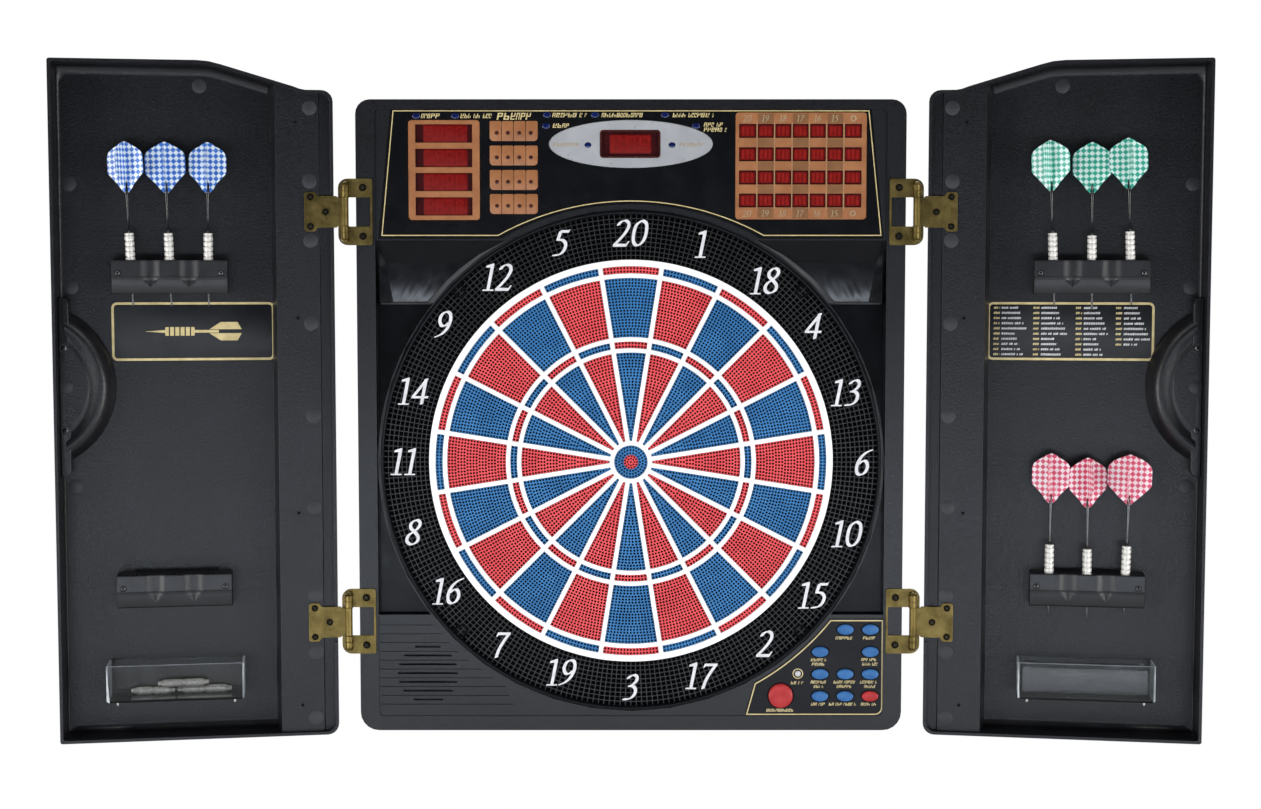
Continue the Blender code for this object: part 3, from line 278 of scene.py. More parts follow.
# Painted highlight: whiter, part-opaque plastic for the bin's end walls and edge strips, standing in for
# their glints.
PAINTED_GLINT = surface("clear_painted_glint", (0.55, 0.58, 0.60), (0.75, 0.78, 0.80), (0.10, 0.2),
               400.0, 0.03, 90.0, Alpha=0.75)
FILM = surface("bag_film", (0.62, 0.65, 0.67), (0.80, 0.82, 0.84), (0.06, 0.2),
               240.0, 0.5, 90.0, Transmission_Weight=0.6, IOR=1.3, Alpha=0.45)
CLEAR = clear_plastic("clear_styrene")
RUBBER = surface("mat_rubber", (0.012, 0.012, 0.012), (0.02, 0.02, 0.02), (0.7, 0.85), 800.0, 0.08, 60.0)
BOARD = surface("board_green", (0.010, 0.085, 0.035), (0.018, 0.13, 0.055), (0.3, 0.45), 900.0, 0.03, 120.0)
MEMBRANE = surface("membrane_film", (0.42, 0.37, 0.20), (0.55, 0.49, 0.28), (0.22, 0.34), 900.0, 0.02, 90.0)
PAPER_CONE = surface("speaker_cone", (0.016, 0.016, 0.018), (0.030, 0.030, 0.032), (0.6, 0.75),
                     1100.0, 0.10, 120.0)
FLIGHTS = {"blue": checked("flight_blue", (0.06, 0.20, 0.66), (0.86, 0.95, 1.0)),
           "green": checked("flight_green", (0.05, 0.43, 0.31), (0.78, 0.95, 0.90)),
           "red": checked("flight_red", (0.72, 0.07, 0.15), (0.96, 0.80, 0.83))}


# ---------------------------------------------------------------- outlines
def arc(cu, cv, radius, start, end, steps):
    return [(cu + radius * math.cos(math.radians(start + (end - start) * i / steps)),
             cv + radius * math.sin(math.radians(start + (end - start) * i / steps)))
            for i in range(steps + 1)]


def polar(r, a):
    return (r * math.cos(a), r * math.sin(a))


def loop_at(r, w, count):
    """Points of a circle about the target's centre, at height w."""
    return [(*polar(r, 2 * math.pi * i / count), w) for i in range(count)]


def circle(cu, cv, radius, steps=24):
    return arc(cu, cv, radius, 0.0, 360.0, steps)[:-1]


def ellipse(cu, cv, half_u, half_v, steps=32):
    return [(cu + half_u * x, cv + half_v * y) for x, y in circle(0.0, 0.0, 1.0, steps)]


def rect(u0, v0, u1, v1):
    return [(u0, v0), (u1, v0), (u1, v1), (u0, v1)]


def rounded(u0, v0, u1, v1, radius, top=None, steps=5):
    """Rounded rectangle, anticlockwise from its lower left corner."""
    upper = radius if top is None else top
    points = arc(u0 + radius, v0 + radius, radius, 180.0, 270.0, steps)
    points += arc(u1 - radius, v0 + radius, radius, 270.0, 360.0, steps)
    points += arc(u1 - upper, v1 - upper, upper, 0.0, 90.0, steps)
    return points + arc(u0 + upper, v1 - upper, upper, 90.0, 180.0, steps)


def triangles(loops, tolerance, wanted):
    """Flat triangles between the loops; wanted picks them by the numbers of the loops they lie in."""
    flat = [Vector(p) for loop in loops for p in loop]
    faces, start = [], 0
    for loop in loops:
        faces.append(list(range(start, start + len(loop))))
        start += len(loop)
    verts, _, tris, _, _, owners = delaunay_2d_cdt(flat, [], faces, 0, tolerance)
    return verts, [tri for tri, owner in zip(tris, owners) if wanted(list(owner))]


def first_only(owner):
    return owner == [0]


def inset(outline, amount):
    """The outline moved inwards by amount."""
    count = len(outline)
    points = []
    for i in range(count):
        before, here, after = Vector(outline[i - 1]), Vector(outline[i]), Vector(outline[(i + 1) % count])
        one = (here - before).normalized()
        two = (after - here).normalized()
        left = Vector((-one.y - two.y, one.x + two.x))
        if left.length < 1e-6:
            left = Vector((-one.y, one.x))
        left.normalize()
        scale = max(0.35, left.dot(Vector((-one.y, one.x))))
        points.append(tuple(here + left * (amount / scale)))
    return points


def hull(points):
    points = sorted(set((round(x, 6), round(y, 6)) for x, y in points))

    def half(sequence):
        chain = []
        for p in sequence:
            while len(chain) > 1 and ((chain[-1][0] - chain[-2][0]) * (p[1] - chain[-2][1])
                                      - (chain[-1][1] - chain[-2][1]) * (p[0] - chain[-2][0])) <= 0:
                chain.pop()
            chain.append(p)
        return chain[:-1]
    return half(points) + half(points[::-1])


def spline(points):
    """Smooth curve through the points."""
    out = []
    ends = [points[0]] + list(points) + [points[-1]]
    for a, b, c, d in zip(ends, ends[1:], ends[2:], ends[3:]):
        a, b, c, d = Vector(a), Vector(b), Vector(c), Vector(d)
        for i in range(SPLINE_STEPS):
            t = i / SPLINE_STEPS
            out.append(0.5 * ((2 * b) + (c - a) * t + (2 * a - 5 * b + 4 * c - d) * t * t
                              + (3 * b - a - 3 * c + d) * t ** 3))
    return out + [Vector(points[-1])]


# ---------------------------------------------------------------- mesh building
class Shape:
    """Collects faces in one drawing frame."""

    def __init__(self, place=CABINET):
        self.place = place
        self.points = []
        self.faces = []
        self.slots = []
        self.uvs = {}

    def put(self, points, faces, slot=0):
        base = len(self.points)
        self.points += [tuple(p) for p in points]
        self.faces += [[base + i for i in f] for f in faces]
        self.slots += [slot] * len(faces)
        return base

    def bands(self, rings, slot=0, closed=True):
        """Quads between neighbouring rings of equal length."""
        count = len(rings[0])
        faces = []
        for k in range(len(rings) - 1):
            for i in range(count if closed else count - 1):
                j = (i + 1) % count
                faces.append((k * count + i, k * count + j, (k + 1) * count + j, (k + 1) * count + i))
        return self.put([p for ring in rings for p in ring], faces, slot)

    def prism(self, outline, low, high, slot=0, edge=0.0, steps=2, base=True):
        """Solid from low to high, its front edge rounded by edge."""
        levels = [(0.0, low), (0.0, high - edge)]
        for k in range(1, steps + 1):
            turn = math.pi / 2 * k / steps
            if edge:
                levels.append((edge * (1 - math.cos(turn)), high - edge + edge * math.sin(turn)))
        rings = [[(u, v, w) for u, v in (inset(outline, d) if d else outline)] for d, w in levels]
        count = len(outline)
        start = self.bands(rings, slot)
        self.cap(start + count * (len(rings) - 1), count, slot)
        if base:
            self.cap(start, count, slot, -1)

    def cap(self, first, count, slot, order=1):
        """Face across a ring of points that are already there."""
        self.faces.append(list(range(first, first + count))[::order])
        self.slots.append(slot)

    def plate(self, outline, holes, low, high, slot=0, hole_slot=None, floor=None, floor_slot=None,
              base=False, edge=0.0):
        """Flat plate with holes; floor closes each hole at that level."""
        hole_slot = slot if hole_slot is None else hole_slot
        top = inset(outline, edge) if edge else outline
        verts, keep = triangles([top] + holes, 1e-5, first_only)
        self.put([(p.x, p.y, high) for p in verts], keep, slot)
        if base:
            self.put([(p.x, p.y, low) for p in verts], [t[::-1] for t in keep], slot)
        rings = [[(u, v, low) for u, v in outline], [(u, v, high - edge) for u, v in outline]]
        if edge:
            rings.append([(u, v, high) for u, v in top])
        self.bands(rings, slot)
        bottom = low if floor is None else floor
        for hole in holes:
            around = hole[::-1]
            start = self.bands([[(u, v, bottom) for u, v in around], [(u, v, high) for u, v in around]],
                               hole_slot)
            if floor is not None:
                self.cap(start, len(around), floor_slot, -1)

    def union(self, polygons, low, high, slot=0):
        """Raised shape covering all the convex polygons together."""
        verts, keep = triangles(polygons, 1e-4, len)
        self.put([(p.x, p.y, high) for p in verts], keep, slot)
        sides = {pair: True for t in keep for pair in zip(t, [*t[1:], t[0]])}
        for a, b in sides:
            if (b, a) not in sides:
                p, q = verts[a], verts[b]
                self.put([(p.x, p.y, low), (q.x, q.y, low), (q.x, q.y, high), (p.x, p.y, high)],
                         [(0, 1, 2, 3)], slot)

    def ribbon(self, path, width, low, high, slot=0, closed=False):
        """Flat line of that width along a path."""
        points = [Vector(p) for p in path]
        count = len(points)
        left, right = [], []
        for i in range(count):
            before = points[i - 1] if i or closed else points[i]
            after = points[(i + 1) % count] if i < count - 1 or closed else points[i]
            one, two = [step.normalized() if step.length > 1e-9 else None
                        for step in (points[i] - before, after - points[i])]
            one, two = one or two, two or one
            normal = Vector((-one.y - two.y, one.x + two.x)).normalized()
            scale = max(0.4, normal.dot(Vector((-one.y, one.x))))
            left.append(points[i] + normal * (width / 2 / scale))
            right.append(points[i] - normal * (width / 2 / scale))
        loops = [[(p.x, p.y, low) for p in right], [(p.x, p.y, high) for p in right],
                 [(p.x, p.y, high) for p in left], [(p.x, p.y, low) for p in left]]
        rows = [[loop[i] for loop in loops] for i in range(count)]
        if closed:
            rows.append(rows[0])
        self.bands([row[::-1] for row in rows], slot, closed=False)

    def lathe(self, profile, centre, axis, steps, slot=0, slots=None):
        """Turned shape; profile runs (radius, height) up the axis."""
        rings = []
        for radius, height in profile:
            ring = []
            for i in range(steps):
                a, b = polar(radius, 2 * math.pi * i / steps)
                local = {"w": (a, b, height), "v": (b, height, a), "u": (height, a, b)}[axis]
                ring.append(tuple(c + d for c, d in zip(centre, local)))
            rings.append(ring)
        if slots is None:
            self.bands(rings, slot)
        else:
            for k in range(len(rings) - 1):
                self.bands(rings[k:k + 2], slots[k])

    def screw(self, u, v, w, radius, slot=0, slot_dark=1, turn=0.4):
        """Pan head with a cross recess."""
        self.lathe([(radius, 0.0), (radius * 0.96, radius * 0.18), (radius * 0.72, radius * 0.36),
                    (radius * 0.35, radius * 0.44), (0.01, radius * 0.46)], (u, v, w), "w", 20, slot)
        # The cross recess is drawn as raised bars in slot_dark, which callers give a painted shade colour.
        for k in range(2):
            angle = turn + math.pi / 2 * k
            c, s = math.cos(angle), math.sin(angle)
            half, thin = radius * 0.62, radius * 0.13
            bar = [(u + x * c - y * s, v + x * s + y * c) for x, y in rect(-half, -thin, half, thin)]
            self.prism(bar, w + radius * 0.3, w + radius * 0.475, slot_dark)

    def words(self, u0, u1, v, height, w, slot=0, letter=1.75, seed=1):
        """A row of small slanted blocks in place of lettering."""
        pen = u0
        k = seed
        while pen < u1 - letter * 0.6:
            k = (k * 37 + 11) % 101
            if k % 6 == 0 and pen > u0 + 2 * letter:
                pen += letter * 0.6
            wide = min(letter * (0.72 + 0.2 * (k % 3)), u1 - pen)
            low = v - height / 2
            if height < 2.5:
                strokes = [(0.0, 0.0, 0.78, 0.86 + 0.07 * (k % 3))]
            else:
                strokes = [(0.0, 0.0, 0.24, 1.0)]
                strokes += [(0.2, 0.83, 0.8, 1.0)] if k % 2 else []
                strokes += [(0.2, 0.42, 0.74, 0.58)] if k % 3 else []
                strokes += [(0.2, 0.0, 0.8, 0.17)] if k % 5 > 1 else []
                strokes += [(0.58, 0.5, 0.8, 1.0)] if k % 7 > 3 else [(0.58, 0.0, 0.8, 0.55 + 0.45 * (k % 2))]
            for i, (x0, y0, x1, y1) in enumerate(strokes):
                box = [(pen + x * wide + 0.22 * y * height, low + y * height)
                       for x, y in rect(x0, y0, x1, y1)]
                self.prism(box, w, w + 0.05 + 0.004 * i, slot, base=False)
            pen += wide


def emit(shape, name, body, materials, stands_for=(), sharp=SHARP_ANGLE, weld=True):
    """Turns the shape into one named piece that rides on a body."""
    mesh = bpy.data.meshes.new(name)
    mesh.from_pydata([shape.place @ Vector(p) for p in shape.points], [], shape.faces)
    for polygon, slot in zip(mesh.polygons, shape.slots):
        polygon.material_index = slot
    if shape.uvs:
        layer = mesh.uv_layers.new(name="fin")
        for loop in mesh.loops:
            layer.data[loop.index].uv = shape.uvs.get(loop.vertex_index, (0.0, 0.0))
    return settle(mesh, name, body, materials, stands_for, sharp, weld)


def settle(mesh, name, body, materials, stands_for, sharp, weld):
    if weld:
        bm = bmesh.new()
        bm.from_mesh(mesh)
        bmesh.ops.remove_doubles(bm, verts=bm.verts, dist=WELD)
        bm.to_mesh(mesh)
        bm.free()
    mesh.validate()
    mesh.shade_smooth()
    mesh.set_sharp_from_angle(angle=math.radians(sharp))
    for material in materials:
        mesh.materials.append(material)
    obj = bpy.data.objects.new(name, mesh)
    bpy.context.scene.collection.objects.link(obj)
    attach(obj, body)
    if stands_for:
        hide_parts(*stands_for)
    return obj


def refined(node, name, body, materials, edge, segments=2, pick=None):
    """The CAD node's own shape with its edges rounded."""
    bm = bmesh.new()
    bm.from_mesh(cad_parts[node].data)
    bmesh.ops.remove_doubles(bm, verts=bm.verts, dist=WELD)
    bmesh.ops.join_triangles(bm, faces=bm.faces, angle_face_threshold=math.radians(0.5),
                             angle_shape_threshold=math.pi)
    mesh = bpy.data.meshes.new(name)
    bm.to_mesh(mesh)
    bm.free()
    for layer in ("custom_normal", "sharp_face", "sharp_edge"):
        if layer in mesh.attributes:
            mesh.attributes.remove(mesh.attributes[layer])
    for polygon in mesh.polygons:
        polygon.material_index = pick(polygon.center / MM, polygon.normal) if pick else 0
    obj = settle(mesh, name, body, materials, (node,), SHARP_ANGLE, False)
    if edge:
        rounding = obj.modifiers.new("edges", "BEVEL")
        rounding.width = edge * MM
        rounding.segments = segments
        rounding.limit_method = "ANGLE"
        rounding.angle_limit = math.radians(BEVEL_ANGLE)
        rounding.harden_normals = True
        rounding.miter_outer = "MITER_ARC"
    return obj


# ---------------------------------------------------------------- cabinet
POCKET_TOP, POCKET_TALL, POCKET_RIM = 217.3, 61.8, 53.2


def front_area(centre, normal):
    """Slot 1 in the side recesses, slot 2 on the round collar beside the target, where a lighter colour is a
    painted highlight, slot 0 elsewhere.
    """
    x, y, z = centre
    if z > 154.0 and 245.5 < math.hypot(x, z) < 261.5 and -0.8 < normal.y < -0.2:
        return 2
    deep = 25.0 < -y < POCKET_RIM and abs(x) < 247.0 and -150.5 < z < 217.9
    return 1 if deep and normal.y < 0.3 else 0


def make_pocket(label, side):
    """Glossy moulded floor of the upper side recess, easing back to its ledge, with the ledge's lip."""
    shape = Shape()
    rows, columns = 60, 56
    rings = []
    for j in range(rows + 1):
        t = j / rows
        drop = POCKET_TALL * t
        v = POCKET_TOP - drop
        ease = max(0.0, drop - 20.0) / 41.8
        depth = POCKET_RIM - 8.2 * min(1.0, drop / 2.2) - 0.03 * drop - 1.35 * ease ** 3
        outer = 243.4 - 12.0 * t
        inner = math.sqrt(max(0.0, (262.3 - 0.56 * (depth - 25.0)) ** 2 - v * v))
        row = [(side * 243.6, v, POCKET_RIM)]
        for i in range(columns + 1):
            u = outer + (inner - outer) * i / columns
            crease = noise.noise(Vector((u * 0.09, v * 0.045, 2.0 + side))) * 0.30
            crease += noise.noise(Vector((u * 0.24 + v * 0.1, v * 0.07, 7.0))) * 0.10
            row.append((side * u, v, depth + 0.35 + crease * t))
        rings.append(row if side < 0 else row[::-1])
    shape.bands(rings, closed=False)
    emit(shape, "pocket_floor_" + label, "cabinet", [GLOSS], sharp=40.0)
    lip = Shape()
    section = [(155.9, 42.0), (156.05, 43.2), (155.7, 44.0), (154.9, 44.35), (153.9, 44.2), (153.4, 43.4),
               (153.4, 42.0)]
    low, high = sorted((side * 194.5, side * 243.3))
    lip.bands([[(low, v, w) for v, w in section], [(high, v, w) for v, w in section]])
    for u, order in ((low, -1), (high, 1)):
        lip.put([(u, v, w) for v, w in section], [list(range(len(section)))[::order]])
    # The lip takes the lighter disc colour as a painted highlight along the ledge.
    emit(lip, "pocket_lip_" + label, "cabinet", [DISC_TONE_AND_LIP_SHEEN], sharp=60.0)


def make_cabinet():
    for label, side in SIDES:
        make_pocket(label, side)
    refined("front_housing", "cabinet_front", "cabinet", [ABS, SMOOTH, COLLAR_SHEEN], 0.7, 3, front_area)
    refined("rear_housing", "cabinet_rear", "cabinet", [ABS], 0.8, 3)
    refined("power_inlet", "power_socket", "cabinet", [SMOOTH], 0.3)
    back = Shape(Matrix(((-MM, 0, 0, 0), (0, 0, MM, 0), (0, MM, 0, 0), (0, 0, 0, 1))))
    for u in (-235.0, 0.0, 235.0):
        for v in (330.0, 45.0, -240.0):
            if u or v > 300.0:
                back.lathe([(7.0, -1.2), (7.0, -0.25), (6.6, 0.0), (4.6, 0.0), (4.4, -0.6)],
                           (u, v, 0.0), "w", 28)
                # The cross recess is drawn in slot 2, painted shade.
                back.screw(u, v, -1.0, 3.4, 1, 2, 0.3 + u * 0.01 + v * 0.02)
    emit(back, "back_screws", "cabinet", [ABS, STEEL, PAINTED_SHADE])
    for node, finish in (("rubber_mat", RUBBER), ("sensor_membrane", MEMBRANE), ("main_circuit_board", BOARD),
                         ("display_circuit_board", BOARD), ("speaker", PAPER_CONE)):
        refined(node, node + "_piece", "cabinet", [finish], 0.0)


# ---------------------------------------------------------------- target
HOLE_RADIUS, HOLE_PITCH = 1.13, 3.07
KEY_INSET, HOLE_INSET, CELL_INSET = 2.55, 3.95, 2.2
# Inner and outer radius of each band of keys.
DOUBLE, OUTER_SINGLE = (183.9, 190.8), (122.1, 179.4)
TRIPLE, INNER_SINGLE = (111.3, 117.7), (20.8, 107.0)


def cell_span(radius, side):
    """Half angle left at this radius between two straight webs, with side mm taken off each."""
    return math.pi / 20 - math.asin(min(1.0, side / radius))


def key_outline(inner, outer, centre):
    """Scoring key between two radii, its sides parallel to the webs."""
    points = []
    for k in range(9):
        points.append((outer, centre - cell_span(outer, KEY_INSET) * (1 - k / 4)))
    for k in range(5):
        points.append((inner, centre + cell_span(inner, KEY_INSET) * (1 - k / 2)))
    return [polar(r, a) for r, a in points]


def key_holes(rows, centre):
    """Rows of dart holes across one key, narrowing to a single small hole near the bull."""
    holes = []
    for r in rows:
        if r < 27.0:
            tip = 0.6 if r < 23.5 else 0.9
            holes.append(circle(*polar(r, centre), tip, 8))
            continue
        span = cell_span(r, HOLE_INSET)
        count = max(1, int(2 * span * r / HOLE_PITCH + 1.2))
        for i in range(count):
            a = centre + (span * (1 - 2 * i / (count - 1)) if count > 1 else 0.0)
            holes.append(circle(*polar(r, a), HOLE_RADIUS, 8))
    return holes


def rows_between(inner, outer, count):
    return [inner + (outer - inner) * i / (count - 1) for i in range(count)]


def make_keys(name, inner, outer, rows, blue_first):
    shape = Shape()
    inner += 0.35
    outer -= 0.35
    for sector in range(20):
        centre = math.pi / 2 - sector * math.pi / 10
        blue = (sector % 2 == 0) == blue_first
        # Hole walls and floors take the darker copy of the key colour, painted hole shade.
        slot, deep = (2, 3) if blue else (0, 1)
        shape.plate(key_outline(inner, outer, centre), key_holes(rows, centre), KEY_FOOT, KEY_TOP, slot, deep,
                    floor=KEY_FLOOR, floor_slot=deep, edge=0.2)
    emit(shape, name, name, [RED, RED_HOLE_SHADE, BLUE, BLUE_HOLE_SHADE], (name,))


def hole_ring(r, count, radius, turn=0.0):
    return [circle(*polar(r, turn + 2 * math.pi * i / count), radius, 8) for i in range(count)]


def make_bull():
    ring = Shape()
    holes = hole_ring(8.85, 19, 1.06) + hole_ring(11.7, 25, 1.06, 0.1) + hole_ring(14.5, 31, 1.06)
    holes.append(circle(0.0, 0.0, 7.25, 40))
    # Hole walls and floors in slot 1, the darker copy: painted hole shade.
    ring.plate(circle(0.0, 0.0, 15.95, 60), holes, KEY_FOOT, KEY_TOP, 0, 1, floor=KEY_FLOOR, floor_slot=1,
               edge=0.2)
    emit(ring, "outer_bull_key", "outer_bull", [BLUE, BLUE_HOLE_SHADE], ("outer_bull",))
    eye = Shape()
    holes = [circle(0.0, 0.0, 1.0, 8)] + hole_ring(3.3, 8, 0.95) + hole_ring(5.75, 13, 0.95)
    # Hole walls and floors in slot 1, the darker copy: painted hole shade.
    eye.plate(circle(0.0, 0.0, 6.9, 36), holes, KEY_FOOT, 50.3, 0, 1, floor=KEY_FLOOR, floor_slot=1, edge=0.2)
    emit(eye, "inner_bull_key", "inner_bull", [RED, RED_HOLE_SHADE], ("inner_bull",))


def make_web():
    """White web: one disc with a clear cell for every key, its edges softly rounded."""
    web = Shape()
    cells = [circle(0.0, 0.0, 16.3, 72)]
    for inner, outer in (DOUBLE, OUTER_SINGLE, TRIPLE, INNER_SINGLE):
        for sector in range(20):
            centre = math.pi / 2 - sector * math.pi / 10
            points = [(outer, centre - cell_span(outer, CELL_INSET) * (1 - k / 6)) for k in range(13)]
            points += [(inner, centre + cell_span(inner, CELL_INSET) * (1 - k / 2)) for k in range(5)]
            cells.append([polar(r, a) for r, a in points])
    web.plate(circle(0.0, 0.0, 196.6, 220), [inset(cell, -0.3) for cell in cells], 50.7, WEB_TOP)
    edge = ((0.0, WEB_FOOT), (0.0, 50.7), (0.09, 50.91), (0.3, WEB_TOP))
    for cell in cells:
        web.bands([[(u, v, w) for u, v in inset(cell, -d)[::-1]] for d, w in edge])
    rim = ((197.1, WEB_FOOT), (197.1, 50.5), (196.95, 50.85), (196.6, WEB_TOP))
    web.bands([loop_at(r, w, 220) for r, w in rim])
    emit(web, "target_web", "cabinet", [WHITE], ("target_spider",), 40.0)


COLUMNS = 280
ROW_PITCH = 4.44
RING_IN, RIM_IN, RIM_OUT = 197.8, 241.0, 245.2
RIB_FOOT = 49.9
SCREW_R = 236.0


def make_number_ring():
    """Lattice of square holes between raised ribs, inside a rounded rim."""
    ring = Shape()
    step = 2 * math.pi / COLUMNS
    levels = [RING_IN] + [RIM_IN - 4.1 - ROW_PITCH * k for k in range(8, -1, -1)] + [RIM_IN]
    screws = [polar(SCREW_R, math.radians(45 + 90 * k)) for k in range(4)]
    for inner, outer in zip(levels, levels[1:]):
        middle = (inner + outer) / 2
        half_r = min(1.5, (outer - inner) * 0.34)
        for column in range(COLUMNS):
            a0 = math.pi / 2 + column * step
            mid = a0 + step / 2
            half_a = min(1.55, middle * step * 0.33) / middle
            corners = rect(inner, a0, outer, a0 + step)
            hole = rect(middle - half_r, mid - half_a, middle + half_r, mid + half_a)
            cu, cv = polar(middle, mid)
            points = [(*polar(*p), LATTICE_TOP) for p in corners]
            if any(math.hypot(cu - su, cv - sv) < 6.4 for su, sv in screws):
                ring.put(points, [(0, 1, 2, 3)], 0)
                continue
            floor = [(*polar(*p), CELL_FLOOR) for p in hole]
            points += [(*polar(*p), LATTICE_TOP) for p in hole] + floor
            faces = [(i, (i + 1) % 4, (i + 1) % 4 + 4, i + 4) for i in range(4)]
            faces += [(i + 4, (i + 1) % 4 + 4, (i + 1) % 4 + 8, i + 8) for i in range(4)]
            ring.put(points, faces, 0)
            # Each square hole's floor is painted shade.
            ring.put(floor, [(0, 1, 2, 3)], 1)
    ring.bands([[(*polar(RING_IN, -2 * math.pi * i / 140), w) for i in range(140)]
                for w in (41.0, LATTICE_TOP)])
    rim = ((RIM_OUT, 40.0), (RIM_OUT, 53.6), (244.9, 54.4), (244.2, 54.8), (242.4, 54.8), (241.5, 54.5),
           (241.05, 53.8), (RIM_IN, 49.8))
    ring.bands([loop_at(r, w, 140) for r, w in rim], 2)
    ring.bands([loop_at(r, 40.0, 140) for r in (RING_IN, RIM_OUT)])
    # The ribs take the lighter rib colour, a painted highlight.
    for column in range(COLUMNS):
        rib_block(ring, 198.0, 240.9, math.pi / 2 + column * step, 0.34, 50.55)
    for level in levels[1:-1]:
        for k in range(COLUMNS):
            a = math.pi / 2 + k * step
            section = ((-0.34, RIB_FOOT), (-0.24, 50.4), (0.24, 50.4), (0.34, RIB_FOOT))
            points = [(*polar(level + dr, b), w) for b in (a, a + step) for dr, w in section]
            ring.put(points, [(i + 4, i, i + 1, i + 5) for i in range(3)], 3)
    for su, sv in screws:
        collar = [(6.9, LATTICE_TOP), (6.7, 50.75), (6.3, 50.95), (5.0, 50.95), (4.75, 50.7), (4.6, 45.0)]
        ring.lathe(collar, (su, sv, 0.0), "w", 32, 0)
        # The screw recess's floor and the screw's cross are painted shade.
        ring.lathe([(4.6, 45.0), (0.01, 45.0)], (su, sv, 0.0), "w", 32, 1)
        ring.screw(su, sv, 45.0, 3.3, 4, 1, su * 0.01 + 0.5)
    emit(ring, "number_ring_lattice", "cabinet", [LATTICE, PAINTED_SHADE, SMOOTH, RIB_HIGHLIGHT, STEEL], ("number_ring",), 30.0)


def rib_block(shape, r0, r1, a, half, top):
    """Straight rib along the radius at angle a."""
    c, s = math.cos(a), math.sin(a)
    section = ((-half, RIB_FOOT), (-half * 0.75, top), (half * 0.75, top), (half, RIB_FOOT))
    rows = [[(r * c - t * s, r * s + t * c, w) for t, w in section] for r in (r0, r1)]
    faces = [(i + 1, i + 5, i + 4, i) for i in range(3)] + [(0, 1, 2, 3), (7, 6, 5, 4)]
    shape.put(rows[0] + rows[1], faces, 3)


# Numerals: pen strokes in a box one unit high. "c" is a curve, "l" a line, "b" a flat block.
STROKES = {
    "0": [("c", [(0.29, 0.955), (0.11, 0.80), (0.065, 0.5), (0.12, 0.17), (0.29, 0.045),
                 (0.46, 0.20), (0.515, 0.5), (0.46, 0.83), (0.29, 0.955)])],
    "1": [("l", [(0.25, 0.93), (0.25, 0.05)]),
          ("b", [(0.055, 0.0), (0.45, 0.0), (0.45, 0.05), (0.055, 0.05)]),
          ("b", [(0.03, 0.845), (0.20, 0.855), (0.30, 0.90), (0.30, 1.0), (0.22, 0.985),
                 (0.03, 0.915)])],
    "2": [("c", [(0.07, 0.79), (0.13, 0.89), (0.27, 0.955), (0.41, 0.88), (0.45, 0.72),
                 (0.37, 0.50), (0.22, 0.27), (0.06, 0.07)]),
          ("b", [(0.01, 0.0), (0.50, 0.0), (0.52, 0.105), (0.06, 0.115)]),
          ("b", [(0.44, 0.03), (0.50, 0.0), (0.59, 0.20), (0.54, 0.20)])],
    "3": [("c", [(0.10, 0.83), (0.18, 0.92), (0.31, 0.955), (0.42, 0.87), (0.42, 0.73),
                 (0.32, 0.60), (0.20, 0.545)]),
          ("c", [(0.20, 0.545), (0.36, 0.52), (0.46, 0.38), (0.43, 0.19), (0.29, 0.06),
                 (0.09, 0.05)])],
    "4": [("l", [(0.44, 0.93), (0.06, 0.31)]),
          ("b", [(0.0, 0.235), (0.61, 0.235), (0.61, 0.315), (0.0, 0.315)]),
          ("l", [(0.41, 0.93), (0.41, 0.035)])],
    "5": [("b", [(0.17, 0.86), (0.47, 0.86), (0.51, 1.0), (0.45, 0.955), (0.17, 0.955)]),
          ("l", [(0.17, 0.90), (0.13, 0.61)]),
          ("c", [(0.13, 0.60), (0.31, 0.585), (0.44, 0.44), (0.42, 0.22), (0.29, 0.07),
                 (0.08, 0.04)])],
    "6": [("c", [(0.50, 0.96), (0.31, 0.86), (0.15, 0.66), (0.08, 0.38), (0.13, 0.13),
                 (0.28, 0.045), (0.43, 0.15), (0.47, 0.36), (0.38, 0.54), (0.25, 0.56),
                 (0.12, 0.44)])],
    "7": [("b", [(0.05, 0.80), (0.09, 0.80), (0.14, 0.86), (0.56, 0.86), (0.56, 0.955),
                 (0.09, 0.955)]),
          ("c", [(0.50, 0.90), (0.36, 0.62), (0.25, 0.33), (0.20, 0.03)])],
    "8": [("c", [(0.28, 0.53), (0.13, 0.66), (0.12, 0.83), (0.28, 0.955), (0.43, 0.86),
                 (0.42, 0.69), (0.28, 0.53)]),
          ("c", [(0.28, 0.53), (0.10, 0.38), (0.08, 0.17), (0.26, 0.045), (0.45, 0.14),
                 (0.46, 0.33), (0.28, 0.53)])],
}
WIDTHS = {"1": 0.50}
NUMBER_LEAN = 0.2
NUDGE = {20: (1.9, 1.4), 1: (1.9, 1.5), 18: (2.0, -2.4), 4: (0.0, 2.9), 13: (1.0, -0.5), 6: (6.8, -0.5),
         10: (2.5, -2.0), 15: (1.5, -1.0), 2: (4.0, 0.0), 17: (2.0, -0.5), 3: (2.0, -1.0), 19: (2.0, 3.0),
         7: (4.0, -1.0), 16: (1.0, 3.0), 8: (0.0, -0.5), 11: (2.0, 0.5), 14: (0.5, 1.0), 9: (-0.5, 4.4),
         12: (2.9, 1.0), 5: (2.9, 2.9)}
ORDER = (20, 1, 18, 4, 13, 6, 10, 15, 2, 17, 3, 19, 7, 16, 8, 11, 14, 9, 12, 5)


